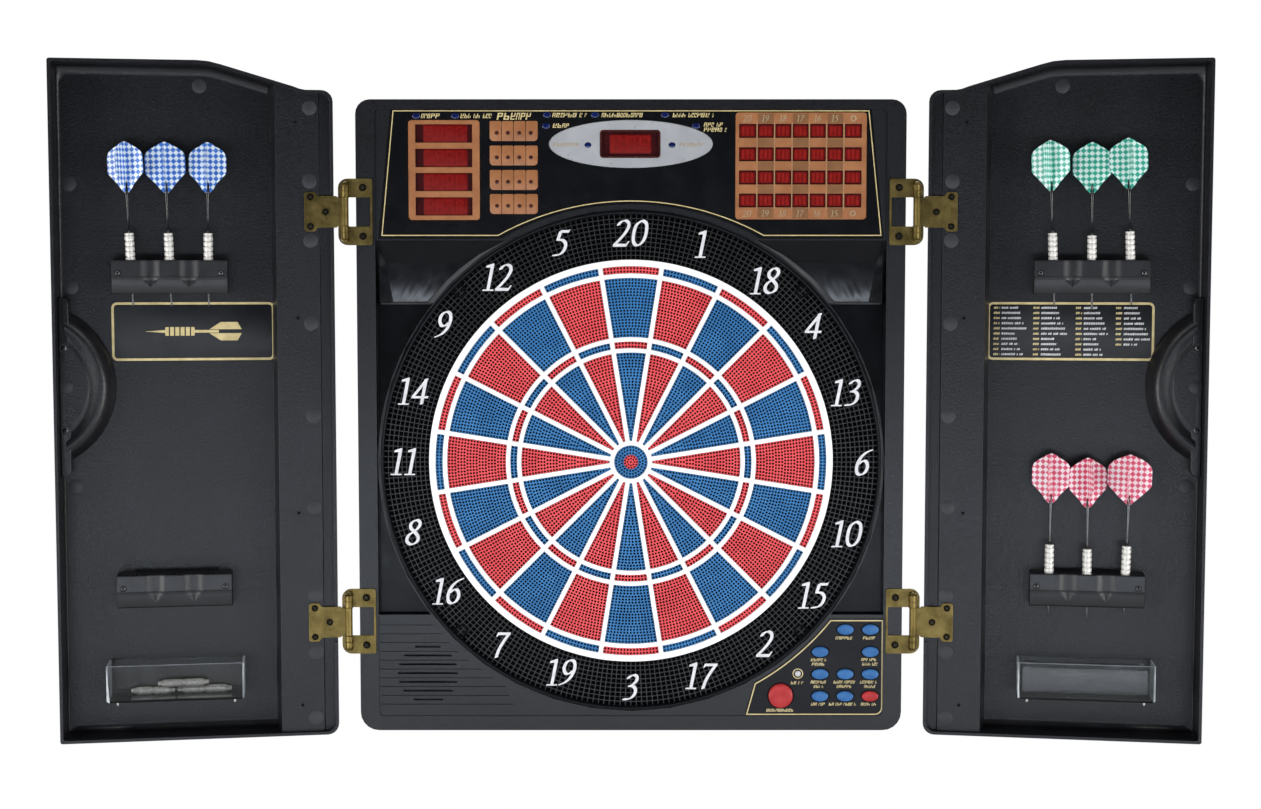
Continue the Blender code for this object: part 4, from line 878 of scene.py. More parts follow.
def digit_polygons(digit):
    """The digit as overlapping convex patches of a broad pen."""
    if digit == "9":
        return [[(0.56 - x, 1.0 - y) for x, y in patch] for patch in digit_polygons("6")]
    angle = math.radians(18.0)
    wide = Vector((math.cos(angle), math.sin(angle))) * 0.055
    thin = Vector((-math.sin(angle), math.cos(angle))) * 0.020
    nib = [wide + thin, thin - wide, -wide - thin, wide - thin]
    patches = []
    for kind, points in STROKES[digit]:
        if kind == "b":
            patches.append(points)
            continue
        path = spline(points) if kind == "c" else [Vector(p) for p in points]
        for a, b in zip(path, path[1:]):
            patches.append(hull([tuple(p + q) for p in (a, b) for q in nib]))
    return patches


def draw_number(shape, text, u, v, height, low, high, slot=0):
    """Italic number centred on (u, v)."""
    advance = [WIDTHS.get(c, 0.62) for c in text]
    pen = u - sum(advance) / 2 * height - 0.03 * height
    for c, step in zip(text, advance):
        patches = []
        for patch in digit_polygons(c):
            patches.append([(pen + (x + NUMBER_LEAN * (y - 0.5)) * height, v + (y - 0.5) * height)
                            for x, y in patch])
        shape.union(patches, low, high, slot)
        pen += step * height


def make_target():
    make_keys("double_segments", *DOUBLE, (185.75, 188.95), False)
    make_keys("outer_single_segments", *OUTER_SINGLE, rows_between(123.9, 177.6, 19), True)
    make_keys("triple_segments", *TRIPLE, (112.95, 116.05), False)
    make_keys("inner_single_segments", *INNER_SINGLE, rows_between(22.2, 105.2, 29), True)
    make_bull()
    make_number_ring()
    make_web()
    digits = Shape()
    for k, value in enumerate(ORDER):
        u, v = polar(221.5, math.pi / 2 - k * math.pi / 10)
        du, dv = NUDGE.get(value, (1.5, 0.5))
        draw_number(digits, str(value), u + du, v + dv, 26.6, 50.4, 51.2)
    emit(digits, "ring_numerals", "cabinet", [NUMERAL])


# ---------------------------------------------------------------- display panel
SCORE = (-214.7, 235.3, -145.9, 331.2)
CRICKET = (100.8, 235.9, 227.3, 338.5)
OVAL_V = 308.3
BARS = ((-0.8, 0.9, 0.8, 1.0), (-0.8, -0.05, 0.8, 0.05), (-0.8, -1.0, 0.8, -0.9), (-1.0, 0.1, -0.8, 0.9),
        (0.8, 0.1, 1.0, 0.9), (-1.0, -0.9, -0.8, -0.1), (0.8, -0.9, 1.0, -0.1))
BAR_LEAN = 0.10


def seven_bars(shape, u, v, half_u, half_v, w, slot):
    """An unlit seven-bar numeral."""
    for corners in BARS:
        box = [(u + (x + BAR_LEAN * y) * half_u, v + y * half_v) for x, y in rect(*corners)]
        shape.prism(box, w, w + 0.05, slot, base=False)


def make_score_display():
    shape = Shape()
    rows = ((327.2, 309.5), (303.8, 286.0), (280.6, 263.0), (257.2, 239.6))
    windows = [(-208.0, v0, -153.0, v1) for v1, v0 in rows]
    shape.plate(rounded(*SCORE, 3.2), [rounded(*box, 0.7, steps=2) for box in windows], DISPLAY_FOOT,
                DISPLAY_TOP, 0, 0, floor=WINDOW_FLOOR, floor_slot=1, base=True, edge=0.35)
    for u0, v0, u1, v1 in windows:
        shape.prism(rounded(u0 + 7.8, v0 + 0.5, u1 - 4.9, v1 - 0.5, 1.5, steps=2), 52.3, 52.55, 2, 0.1,
                    base=False)
        for k in range(4):
            seven_bars(shape, u0 + 13.6 + 9.6 * k, (v0 + v1) / 2, 3.1, (v1 - v0) * 0.36, 52.56, 3)
    emit(shape, "score_lamps", "cabinet", [TAN, WINDOW, GLOW, SEGMENT], ("score_display",))


def make_cricket_display():
    shape = Shape()
    columns = ((104.1, 121.0), (122.1, 137.9), (139.0, 154.8), (155.8, 171.4), (172.5, 188.0), (189.3, 204.7),
               (206.0, 222.7))
    rows = ((314.3, 327.3), (291.9, 304.9), (269.6, 282.7), (247.6, 260.5))
    windows = [(u0 + 0.15, v0 - 0.2, u1 - 0.1, v1 + 0.3) for v0, v1 in rows for u0, u1 in columns]
    shape.plate(rounded(*CRICKET, 3.2), [rounded(*box, 0.5, steps=2) for box in windows], DISPLAY_FOOT,
                DISPLAY_TOP, 0, 0, floor=WINDOW_FLOOR, floor_slot=1, base=True, edge=0.35)
    for u0, v0, u1, v1 in windows:
        shape.prism(rect(u0 + 0.9, v0 + 1.5, u1 - 0.9, v1 - 1.5), 52.3, 52.5, 2, base=False)
        for k in range(3):
            mid = u0 + (u1 - u0) * (0.24 + 0.26 * k)
            shape.prism(rect(mid - 1.1, v0 + 2.6, mid + 1.1, v1 - 2.6), 52.4, 52.7, 3, base=False)
    for u0, u1 in columns:
        if u1 < 222.0:
            shape.prism(rect(u1 + 0.35, CRICKET[1] + 9.0, u1 + 0.75, CRICKET[3] - 9.0), 54.15, 54.24, 6,
                        base=False)
    for k in (1, 3, 5):
        u0, u1 = columns[k]
        for low, high in ((328.0, 337.4), (305.6, 313.6), (283.4, 291.2), (261.2, 268.9), (237.0, 246.9)):
            shape.prism(rect(u0 + 0.3, low, u1 - 0.2, high), 54.15, 54.22, 4, base=False)
    for k, text in enumerate(("20", "19", "18", "17", "16", "15")):
        u = (columns[k][0] + columns[k][1]) / 2
        for v in (332.8, 241.6):
            draw_number(shape, text, u, v, 6.6, 54.2, 54.28, 5)
    for v in (332.8, 241.6):
        shape.ribbon(circle(214.3, v, 2.4, 20), 1.1, 54.2, 54.28, 5, closed=True)
    emit(shape, "cricket_lamps", "cabinet", [TAN, WINDOW, GLOW, SEGMENT, TAN_DEEP, TAN_INK, TAN_INK],
         ("cricket_display",))


def lamp(shape, u, v, half_u, half_v, w, height, slot):
    """Low domed lamp."""
    rings = []
    for scale, h in ((1.0, -0.2), (1.0, height * 0.25), (0.88, height * 0.72), (0.6, height * 0.95),
                     (0.01, height)):
        rings.append([(x, y, w + h) for x, y in ellipse(u, v, half_u * scale, half_v * scale, 20)])
    shape.bands(rings, slot)


def make_centre_display():
    shape = Shape()
    window = rounded(-28.3, 296.5, 26.8, 320.1, 1.6, steps=3)
    shape.plate(ellipse(0.0, OVAL_V, 79.0, 22.9, 72), [window], DISPLAY_FOOT, 54.4, 0, 5, floor=52.2,
                floor_slot=1, base=True, edge=0.5)
    shape.ribbon(inset(window, -0.8), 1.7, 54.3, 54.75, 5, closed=True)
    shape.prism(rounded(-20.5, 299.3, 19.5, 317.3, 1.5, steps=2), 52.2, 52.5, 2, 0.1, base=False)
    for k in range(3):
        seven_bars(shape, -13.6 + 13.2 * k, OVAL_V, 4.4, 7.2, 52.52, 3)
    for u in (-41.4, 39.6):
        lamp(shape, u, 307.3, 3.3, 2.6, 54.4, 0.9, 4)
    shape.words(-75.5, -50.5, 307.6, 3.6, 54.4, 6, 3.3, 5)
    shape.words(46.5, 70.0, 307.6, 3.6, 54.4, 6, 3.3, 9)
    emit(shape, "centre_oval", "cabinet", [SILVER, WINDOW, GLOW, SEGMENT, LAMP, BROWN, TAN_INK],
         ("centre_display",))


def panel_outline():
    """Gold line round the top panel: flat on top, flared sides, and an arc over the target."""
    path = [(-229.1, 340.0), (229.3, 340.0), (241.9, 220.5)]
    start = math.degrees(math.atan2(232.5, 128.4))
    path += arc(0.0, -12.0, 265.6, start, 180.0 - start, 48)
    return path + [(-240.8, 220.5)]


PANEL_LAMPS = ((-207.0, 335.1), (-169.4, 335.1), (-80.8, 336.0), (-34.6, 336.0), (32.8, 336.0),
               (-81.8, 325.5), (62.7, 325.5))
# From u, to u, middle v, height, letter width, seed.
DISPLAY_WORDS = ((-202.5, -182.0, 335.2, 4.3, 4.0, 3), (-164.5, -133.5, 335.2, 4.3, 4.0, 8),
                 (-129.5, -93.0, 334.8, 6.6, 5.8, 5), (-76.0, -43.0, 336.0, 4.1, 3.9, 6),
                 (-28.5, 11.5, 336.0, 4.1, 3.9, 12), (40.0, 79.5, 336.0, 4.1, 3.9, 4),
                 (-75.5, -59.0, 325.9, 4.1, 3.9, 7), (70.0, 88.5, 326.8, 3.9, 3.9, 2),
                 (70.0, 92.0, 322.0, 3.9, 3.9, 15))


def make_display_panel():
    refined("display_panel", "display_film", "cabinet", [PANEL], 0.25)
    line = Shape()
    line.ribbon(panel_outline(), 0.95, FACE, FACE + 0.08, 0, closed=True)
    emit(line, "display_gold_line", "cabinet", [GOLD])
    tiles = Shape()
    for v1, v0 in ((330.3, 311.1), (306.8, 287.7), (283.4, 264.2), (260.3, 241.1)):
        for k in range(4):
            u0 = -136.2 + 11.7 * k
            u1 = u0 + 11.2
            low_left = 3.6 if k == 0 else 0.25
            low_right = 3.6 if k == 3 else 0.25
            outline = arc(u0 + low_left, v0 + low_left, low_left, 180.0, 270.0, 4)
            outline += arc(u1 - low_right, v0 + low_right, low_right, 270.0, 360.0, 4)
            outline += [(u1, v1 - 0.9), (u1 - 0.9, v1), (u0 + 0.9, v1), (u0, v1 - 0.9)]
            tiles.prism(outline, FACE - 0.1, FACE + 0.55, 0, 0.2)
            lamp(tiles, (-129.3, -118.6, -107.6, -96.5)[k], v0 + 7.7, 1.95, 1.95, FACE + 0.55, 0.5, 1)
    emit(tiles, "player_tiles", "cabinet", [TAN, BROWN])
    lamps = Shape()
    for u, v in PANEL_LAMPS:
        lamp(lamps, u, v, 3.9, 2.7, FACE, 0.8, 0)
    emit(lamps, "panel_lamps", "cabinet", [LAMP])
    print_blocks = Shape()
    for u0, u1, v, tall, letter, seed in DISPLAY_WORDS:
        print_blocks.words(u0, u1, v, tall, FACE, 0, letter, seed)
    emit(print_blocks, "display_print", "cabinet", [GOLD])
    make_score_display()
    make_cricket_display()
    make_centre_display()


# ---------------------------------------------------------------- control panel
BUTTONS = {"select_button": (210.5, -164.7), "game_button": (235.0, -164.7), "player_button": (185.8, -186.8),
           "match_button": (235.0, -186.8), "bounce_out_button": (185.8, -208.9),
           "dart_out_button": (210.5, -208.9), "double_button": (235.0, -208.9),
           "sound_button": (185.8, -230.9), "guard_button": (210.5, -230.9), "power_button": (235.0, -230.9)}


# From u, to u, middle v, seed.
CONTROL_WORDS = ((200.5, 218.5, -173.2, 3), (227.5, 241.0, -173.2, 5), (176.5, 192.5, -194.8, 7),
                 (177.5, 190.5, -199.2, 9), (226.0, 241.0, -194.6, 2), (227.0, 242.0, -199.0, 4),
                 (176.5, 193.0, -216.9, 6), (179.5, 189.0, -221.3, 8), (199.0, 220.5, -216.9, 11),
                 (202.0, 217.0, -221.3, 13), (225.0, 242.5, -216.9, 10), (229.0, 240.0, -221.3, 12),
                 (177.0, 191.0, -238.9, 14), (194.5, 221.5, -238.9, 16), (226.0, 241.5, -238.9, 18),
                 (157.0, 170.5, -217.6, 20), (133.0, 160.0, -245.0, 22))
START_BUTTON, RESET_BUTTON = (147.1, -230.4), (164.0, -208.5)


def button_cap(name, u, v, half_u, half_v, proud, material, steps=36, dish=0.0):
    """Pillow-topped push button on its straight stem."""
    shape = Shape()
    rise = proud - FACE
    levels = [(1.0, 48.5)] + [(scale, FACE + rise * k) for scale, k in (
        (1.0, 0.42), (0.985, 0.58), (0.94, 0.76), (0.84, 0.89), (0.66, 0.97 - dish * 0.4), (0.38, 1.0 - dish),
        (0.01, 1.0 - dish * 1.2))]
    rings = [[(x, y, w) for x, y in ellipse(u, v, half_u * scale, half_v * scale, steps)]
             for scale, w in levels]
    shape.bands(rings)
    shape.put(rings[0], [list(range(steps))[::-1]])
    emit(shape, name + "_cap", name, [material], (name,))


def control_outline():
    """Gold line of the control panel: arc beside the target, stepped left end, rounded lower corner."""
    start = math.degrees(math.atan2(-156.0, 196.0))
    end = math.degrees(math.atan2(-218.6, 122.3))
    path = arc(0.0, 0.0, 250.5, start, end, 20)
    path += [(113.9, -249.0)]
    path += arc(240.0, -242.4, 6.6, 270.0, 360.0, 6)
    return path + [(246.6, -156.0)]


def make_control_panel():
    refined("control_panel", "control_film", "cabinet", [CONTROL], 0.25)
    line = Shape()
    line.ribbon(control_outline(), 1.15, FACE, FACE + 0.08, 0, closed=True)
    line.ribbon(circle(*RESET_BUTTON, 4.7, 28), 0.9, FACE - 0.1, FACE + 0.5, 0, closed=True)
    for u0, u1, v, seed in CONTROL_WORDS:
        line.words(u0, u1, v, 2.9, FACE, 0, 2.5, seed)
    emit(line, "control_gold_print", "cabinet", [GOLD])
    # Painted shadow: a thin dark ring round each button, where the gap to the panel falls in shade.
    wells = Shape()
    for u, v in BUTTONS.values():
        wells.ribbon(ellipse(u, v, 8.75, 5.65, 36), 0.9, FACE - 0.05, FACE + 0.1, 0, closed=True)
    wells.ribbon(circle(*START_BUTTON, 12.6, 48), 0.9, FACE - 0.05, FACE + 0.1, 0, closed=True)
    emit(wells, "button_wells", "cabinet", [PAINTED_SHADE])
    for name, (u, v) in BUTTONS.items():
        button_cap(name, u, v, 8.2, 5.1, 56.0, BUTTON_RED if name == "power_button" else BUTTON_BLUE)
    button_cap("start_button", *START_BUTTON, 12.0, 12.0, 57.0, BUTTON_RED, 48, 0.14)
    button_cap("reset_button", *RESET_BUTTON, 2.9, 2.9, 54.9, PALE_INK, 24)


# ---------------------------------------------------------------- hinges
def make_hinges(label, side):
    """Brass leaves with rounded edges, screws, and the pin's washers."""
    cabinet_screws = Shape()
    door_screws = Shape(door_frame(side))
    for which, v in HINGE_Z:
        for leaf, body in (("frame_leaf", "cabinet"), ("door_leaf", "door_" + label)):
            piece = "%s_%s_%s" % (leaf, label, which)
            refined("hinge_" + piece, piece, body, [BRASS], 0.3)
        for dv in (23.4, -23.4):
            cabinet_screws.lathe([(4.3, 0.0), (4.2, 0.22), (3.7, 0.22), (3.5, 0.05)],
                                 (side * 258.7, v + dv, 56.8), "w", 28, 2)
            # The screw heads take slot 1, painted shade black as if sunk in shadow; their crosses take slot
            # 0, painted recess shade.
            cabinet_screws.screw(side * 258.7, v + dv, 56.75, 3.5, 1, 0, 0.5 + dv)
        for sign in (-1, 1):
            for level in (13.9, 19.9, 26.0):
                cabinet_screws.lathe([(2.0, -0.45), (3.95, -0.4), (4.25, 0.0), (3.95, 0.4), (2.0, 0.45)],
                                     (side * PIN_X, v + sign * level, PIN_DEPTH), "v", 20, 2)
            bead = [(2.9, 0.0), (3.3, 0.9), (3.0, 1.9), (1.9, 2.7), (0.01, 3.0)]
            if sign < 0:
                bead = [(radius, -level) for radius, level in bead[::-1]]
            cabinet_screws.lathe(bead, (side * PIN_X, v + sign * 26.4, PIN_DEPTH), "v", 20, 2)
        for along, dv in ((22.2, 14.1), (22.2, -14.1), (8.0, 0.0)):
            door_screws.lathe([(3.9, 0.0), (3.8, 0.25), (3.3, 0.25), (3.1, 0.05)],
                              (side * along, v + dv, FLOOR_DEPTH - 60.0), "w", 28, 2)
            # The screw heads take slot 1, painted shade black as if sunk in shadow; their crosses take slot
            # 0, painted recess shade.
            door_screws.screw(side * along, v + dv, FLOOR_DEPTH - 60.05, 3.1, 1, 0, 0.9 + dv)
    emit(cabinet_screws, "frame_hinge_screws_" + label, "cabinet", [BRASS_DARK, PAINTED_SHADE, BRASS])
    emit(door_screws, "door_hinge_screws_" + label, "door_" + label, [BRASS_DARK, PAINTED_SHADE, BRASS])


# ---------------------------------------------------------------- doors
EJECTORS = ((127.2, 364.3), (22.3, 342.0), (23.0, 272.0), (22.4, 215.4), (22.6, 135.5), (21.5, 45.8),
            (21.8, -43.0), (21.5, -129.8), (21.3, -185.5), (22.0, -250.5), (251.0, 269.5), (250.8, 170.5),
            (250.2, -22.5), (202.4, -106.2), (108.1, -107.0), (208.3, -213.7))
PIN_HOLES = ((35.9, 328.5), (35.2, 140.9), (36.5, -48.4), (34.8, -237.4))


def make_door(label, side):
    body = "door_" + label
    refined("door_" + label, "door_tray_" + label, body, [TRAY], 0.55, 2)
    marks = Shape(door_frame(side))
    for along, v in EJECTORS:
        w = BAND_HEIGHT if 14.0 < along < 54.0 else 0.0
        marks.prism(circle(side * along, v, 6.9, 40), w - 0.1, w + 0.16, 2, 0.12)
    for along, v in PIN_HOLES:
        place = (side * along, v, BAND_HEIGHT)
        marks.lathe([(2.5, 0.0), (2.3, 0.3), (1.5, 0.3), (1.4, 0.05)], place, "w", 20, 0)
        # The hole's floor is painted shade.
        marks.lathe([(1.4, 0.06), (0.01, 0.06)], place, "w", 20, 1)
    marks.prism(circle(side * 254.6, 75.3, 6.0, 40), FLANGE_TOP - 0.1, FLANGE_TOP + 0.12, 2, 0.1)
    emit(marks, "moulding_marks_" + label, body, [TRAY, PAINTED_SHADE, DISC_TONE_AND_LIP_SHEEN])
    make_fillets(label, side)
    make_cup(label, side)
    screws = Shape(door_frame(side))
    for v in (112.4, 33.6):
        screws.lathe([(4.4, 0.0), (4.2, 0.35), (3.3, 0.35), (3.1, 0.1)],
                     (side * 256.3, v, FLANGE_TOP), "w", 24, 2)
        # The cross recess in slot 1 is painted shade.
        screws.screw(side * 256.3, v, 17.95, 2.7, 0, 1, v)
    for _, top in RACK_TOPS:
        for offset in (-48.3, 48.3):
            u, v = side * (RACK_CENTRE + offset), top - 12.4
            screws.lathe([(3.7, 0.0), (3.5, 0.35), (2.9, 0.35), (2.7, 0.1)], (u, v, PAD_TOP), "w", 24, 2)
            # Dark disc under each rack screw head: painted shade in the screw's hole.
            screws.prism(circle(u, v, 3.2, 24), 26.7, 26.85, 1)
            screws.screw(u, v, PAD_TOP, 2.2, 0, 1, top + offset)
    emit(screws, "rack_and_cup_screws_" + label, body, [STEEL, PAINTED_SHADE, RACK])
    for which, top in RACK_TOPS:
        make_rack(label, side, which, top)
    make_label(label, side)
    make_bin(label, side)


def make_fillets(label, side):
    """Concave moulding radius where the tray's walls meet its floor."""
    path = [(60.5, -263.1, 7.0), (252.0, -263.1, 7.0), (261.2, -263.1, 3.5), (261.2, 366.0, 3.5),
            (261.2, 382.2, 8.5), (127.0, 382.2, 8.5), (116.0, 381.3, 8.5), (105.0, 378.6, 8.5),
            (60.5, 365.6, 8.5)]
    if side < 0:
        path.reverse()
    points = [Vector((side * along, v)) for along, v, _ in path]
    radii = [radius for _, _, radius in path]
    rings = []
    for i, here in enumerate(points):
        before = (here - points[i - 1]).normalized() if i else (points[1] - here).normalized()
        after = (points[i + 1] - here).normalized() if i < len(points) - 1 else before
        normal = Vector((-before.y - after.y, before.x + after.x)).normalized()
        scale = normal.dot(Vector((-before.y, before.x)))
        ring = []
        radius = radii[i]
        for k in range(9):
            angle = math.pi / 2 * k / 8
            offset = radius * (1 - math.cos(angle))
            ring.append((here.x + normal.x * offset / scale, here.y + normal.y * offset / scale,
                         radius * (1 - math.sin(angle))))
        ring.append((here.x - normal.x * 0.3 / scale, here.y - normal.y * 0.3 / scale, -0.3))
        rings.append(ring)
    shape = Shape(door_frame(side))
    shape.bands([ring[::-1] for ring in rings])
    for ring in (rings[0], rings[-1][::-1]):
        shape.put(ring, [list(range(len(ring)))])
    emit(shape, "tray_fillet_" + label, "door_" + label, [TRAY], sharp=60.0)


def cup_height(depth, reach):
    """Height of the finger cup above the floor, depth mm inside its round outline."""
    t = max(0.0, depth / reach)
    if t < 0.55:
        return CUP_CREST * math.sin(math.pi / 2 * (t / 0.55)) ** 0.62
    if t < 1.0:
        k = (t - 0.55) / 0.45
        return CUP_CREST - 1.9 * (3 * k * k - 2 * k ** 3)
    return 17.0 + 0.95 * min(1.0, (t - 1.0) / 0.06)


def make_cup(label, side):
    """Finger cup: a flat crown beside its flange strip and a rounded slope down to the floor."""
    shape = Shape(door_frame(side))
    arc_r, reach, flat = 80.9, 46.0, 255.7
    centre = flat - reach + arc_r
    count, steps = 96, 44
    rings = []
    for j in range(count + 1):
        spread = math.radians(64.3)
        angle = -spread + 2 * spread * j / count
        row = []
        for i in range(steps + 1):
            t = i / steps
            outer = (centre - arc_r * math.cos(angle), CUP_Z + arc_r * math.sin(angle))
            inner = (flat, CUP_Z + 0.58 * arc_r * math.sin(angle))
            k = t * t * 0.35 + t * 0.65
            along = outer[0] + (inner[0] - outer[0]) * k
            v = outer[1] + (inner[1] - outer[1]) * k
            depth = arc_r - math.hypot(along - centre, v - CUP_Z)
            row.append((side * along, v, 0.05 + cup_height(depth, 23.5) - (0.0 if i else 0.05)))
        rings.append(row if side > 0 else row[::-1])
    shape.bands(rings, closed=False)
    near, far, low, high, round_r = 251.6, 261.0, -11.0, 161.0, 6.5
    strip = arc(near + round_r, high - round_r, round_r, 180.0, 90.0, 8) + [(far, high), (far, low)]
    strip += arc(near + round_r, low + round_r, round_r, 270.0, 180.0, 8)
    outline = [(side * along, v) for along, v in (strip[::-1] if side > 0 else strip)]
    shape.prism(outline, 0.05, 17.95, 0, 0.8, 3)
    emit(shape, "finger_cup_" + label, "door_" + label, [TRAY], ("handle_cup_" + label,), 40.0)


def rack_front(du, drop):
    """Height of the rack's front above the tray floor: flat pads, a rolled nose and two round channels."""
    if drop < PAD_TALL:
        w = PAD_TOP
    elif drop < NOSE_DROP:
        w = PAD_TOP + 0.35 * math.sin((drop - PAD_TALL) * math.pi)
    else:
        t = (drop - NOSE_DROP) / 16.4
        w = PAD_TOP - 1.2 * min(1.0, t * 8.0) - 6.0 * (1 - math.sqrt(max(0.0, 1 - t * t)))
    wide = CHANNEL_HALF - (0.0 if drop < PAD_TALL else min(10.35, (drop - PAD_TALL) * 0.97))
    channel = 0.0
    for centre in (-CHANNEL_MIDDLE, CHANNEL_MIDDLE):
        t = abs(du - centre) / wide
        if t < 1.0:
            channel = CHANNEL_DEEP * math.cos(t * math.pi / 2) ** 1.5 * (wide / CHANNEL_HALF) ** 0.6
    return max(w - channel, 16.0)


def make_rack(label, side, which, top):
    node = "dart_rack_%s_%s" % (label, which)
    shape = Shape(door_frame(side))
    us = [-RACK_HALF, -54.1, -53.4] + [-52.0 + 1.04 * i for i in range(101)] + [53.4, 54.1, RACK_HALF]
    drops = [0.0, 0.15, 0.5] + [1.2 + 1.2 * i for i in range(12)] + [15.2, 15.6, 15.9, 16.2, 16.6, 17.2]
    drops += [18.4 + 1.2 * i for i in range(8)] + [28.0, 28.6, 29.6, 30.6, 31.6, 32.1, RACK_TALL]
    rows = []
    for drop in drops:
        row = []
        for du in us:
            edge = min(1.0, min(RACK_HALF - abs(du), drop, RACK_TALL - drop) / 0.8)
            soft = 0.8 * (1 - math.sqrt(max(0.0, 1 - (1 - edge) ** 2)))
            row.append((side * RACK_CENTRE + du, top - drop, rack_front(du, drop) - soft))
        rows.append(row)
    shape.bands([row[::-1] for row in rows], closed=False)
    first, last = [row[0] for row in rows], [row[-1] for row in rows]
    shape.bands([[(u, v, 0.3) for u, v, _ in first], first], closed=False)
    for line in (last, rows[-1]):
        shape.bands([line, [(u, v, 0.3) for u, v, _ in line]], closed=False)
    sockets = [circle(side * RACK_CENTRE + DART_PITCH * k, 0.0, 4.75, 24) for k in (-1, 0, 1)]
    rim = [(p[0], p[2]) for p in rows[0]]
    lid = [(rim[0][0], 0.3), (rim[-1][0], 0.3)] + rim[::-1]
    holes = [[(u, v + DART_STAND) for u, v in hole] for hole in sockets]
    verts, keep = triangles([lid] + holes, 1e-5, first_only)
    shape.put([(p.x, top, p.y) for p in verts], [t[::-1] for t in keep])
    for hole in holes:
        shape.bands([[(u, top - d, v) for u, v in hole] for d in (0.0, 25.0)])
        cu = sum(u for u, v in hole) / 24
        # The socket's bottom cone is painted shade.
        shape.bands([[(cu + (u - cu) * s, top - d, DART_STAND + (v - DART_STAND) * s) for u, v in hole]
                     for s, d in ((1.0, 25.0), (0.5, 28.0), (0.01, 28.2))], 1)
    emit(shape, "rack_%s_%s" % (label, which), "door_" + label, [RACK, PAINTED_SHADE], (node,), 38.0)


def make_label(label, side):
    """Printed plate in a gold frame: a drawn dart on the left door, four columns of blocks on the right."""
    u0, u1 = sorted((side * 58.3, side * (213.5 if side < 0 else 217.5)))
    v0, v1 = 99.1, 156.0
    plate = Shape(door_frame(side))
    plate.prism(rounded(u0, v0, u1, v1, 5.2), -0.05, 0.35, 0, 0.15)
    plate.ribbon(rounded(u0 + 1.3, v0 + 1.3, u1 - 1.3, v1 - 1.3, 4.2), 2.3, 0.3, 0.42, 1, closed=True)
    middle = (u0 + u1) / 2
    v = (v0 + v1) / 2
    if side < 0:
        plate.prism([(middle - 46.0, v), (middle - 27.0, v - 1.4), (middle - 27.0, v + 1.4)], 0.35, 0.45, 1)
        plate.prism(rounded(middle - 27.0, v - 4.2, middle + 1.0, v + 4.2, 1.2), 0.35, 0.45, 1)
        for k in range(5):
            plate.prism(rect(middle - 23.6 + 5.0 * k, v - 4.3, middle - 22.4 + 5.0 * k, v + 4.3), 0.44, 0.5)
        plate.prism(rect(middle + 1.0, v - 1.3, middle + 24.0, v + 1.3), 0.35, 0.45, 1)
        for sign in (1, -1):
            fin = [(middle + 15.0, v + sign * 1.9), (middle + 26.0, v + sign * 9.0),
                   (middle + 42.0, v + sign * 9.0), (middle + 46.0, v + sign * 1.9)]
            plate.prism(fin[::-1] if sign > 0 else fin, 0.35, 0.45, 1)
    else:
        for column, (start, lines) in enumerate(((6.0, 10), (44.0, 10), (84.5, 10), (122.5, 8))):
            for line in range(lines):
                y = v1 - 5.6 - 5.05 * line
                seed = column * 17 + line * 5 + 1
                long = 13.0 + (seed * 29 % 13)
                plate.words(u0 + start, u0 + start + 6.0, y, 2.1, 0.35, 1, 1.7, seed)
                plate.words(u0 + start + 7.6, u0 + start + 7.6 + long, y, 2.1, 0.35, 2, 2.0, seed + 3)
    emit(plate, "label_plate_" + label, "door_" + label, [LABEL, GOLD, PALE_INK])


def barrel_piece(shape, start, end, radius):
    """Loose knurled barrel from start to end, with a threaded neck at each end."""
    start, end = Vector(start), Vector(end)
    axis = (end - start).normalized()
    side_a = axis.orthogonal().normalized()
    side_b = axis.cross(side_a)
    length = (end - start).length
    rings = []
    steps, count = 40, 72
    for k in range(count + 1):
        t = length * k / count
        end_gap = min(t, length - t)
        grip = end_gap > 6.0 and not (0.47 < t / length < 0.53)
        ring = []
        for i in range(steps):
            angle = 2 * math.pi * i / steps
            r = radius * (0.62 if end_gap < 4.0 else 0.86 if not grip else 1.0)
            if end_gap < 4.0:
                r += 0.12 * math.sin(t * 9.0)
            if grip:
                r += 0.16 * (math.sin(angle * 10 + t * 2.9) * math.sin(angle * 10 - t * 2.9))
            a, b = polar(r, angle)
            ring.append(tuple(start + axis * t + side_a * a + side_b * b))
        rings.append(ring)
    shape.bands(rings)
    for ring, order in ((rings[0], -1), (rings[-1], 1)):
        shape.put(ring, [list(range(steps))[::order]])


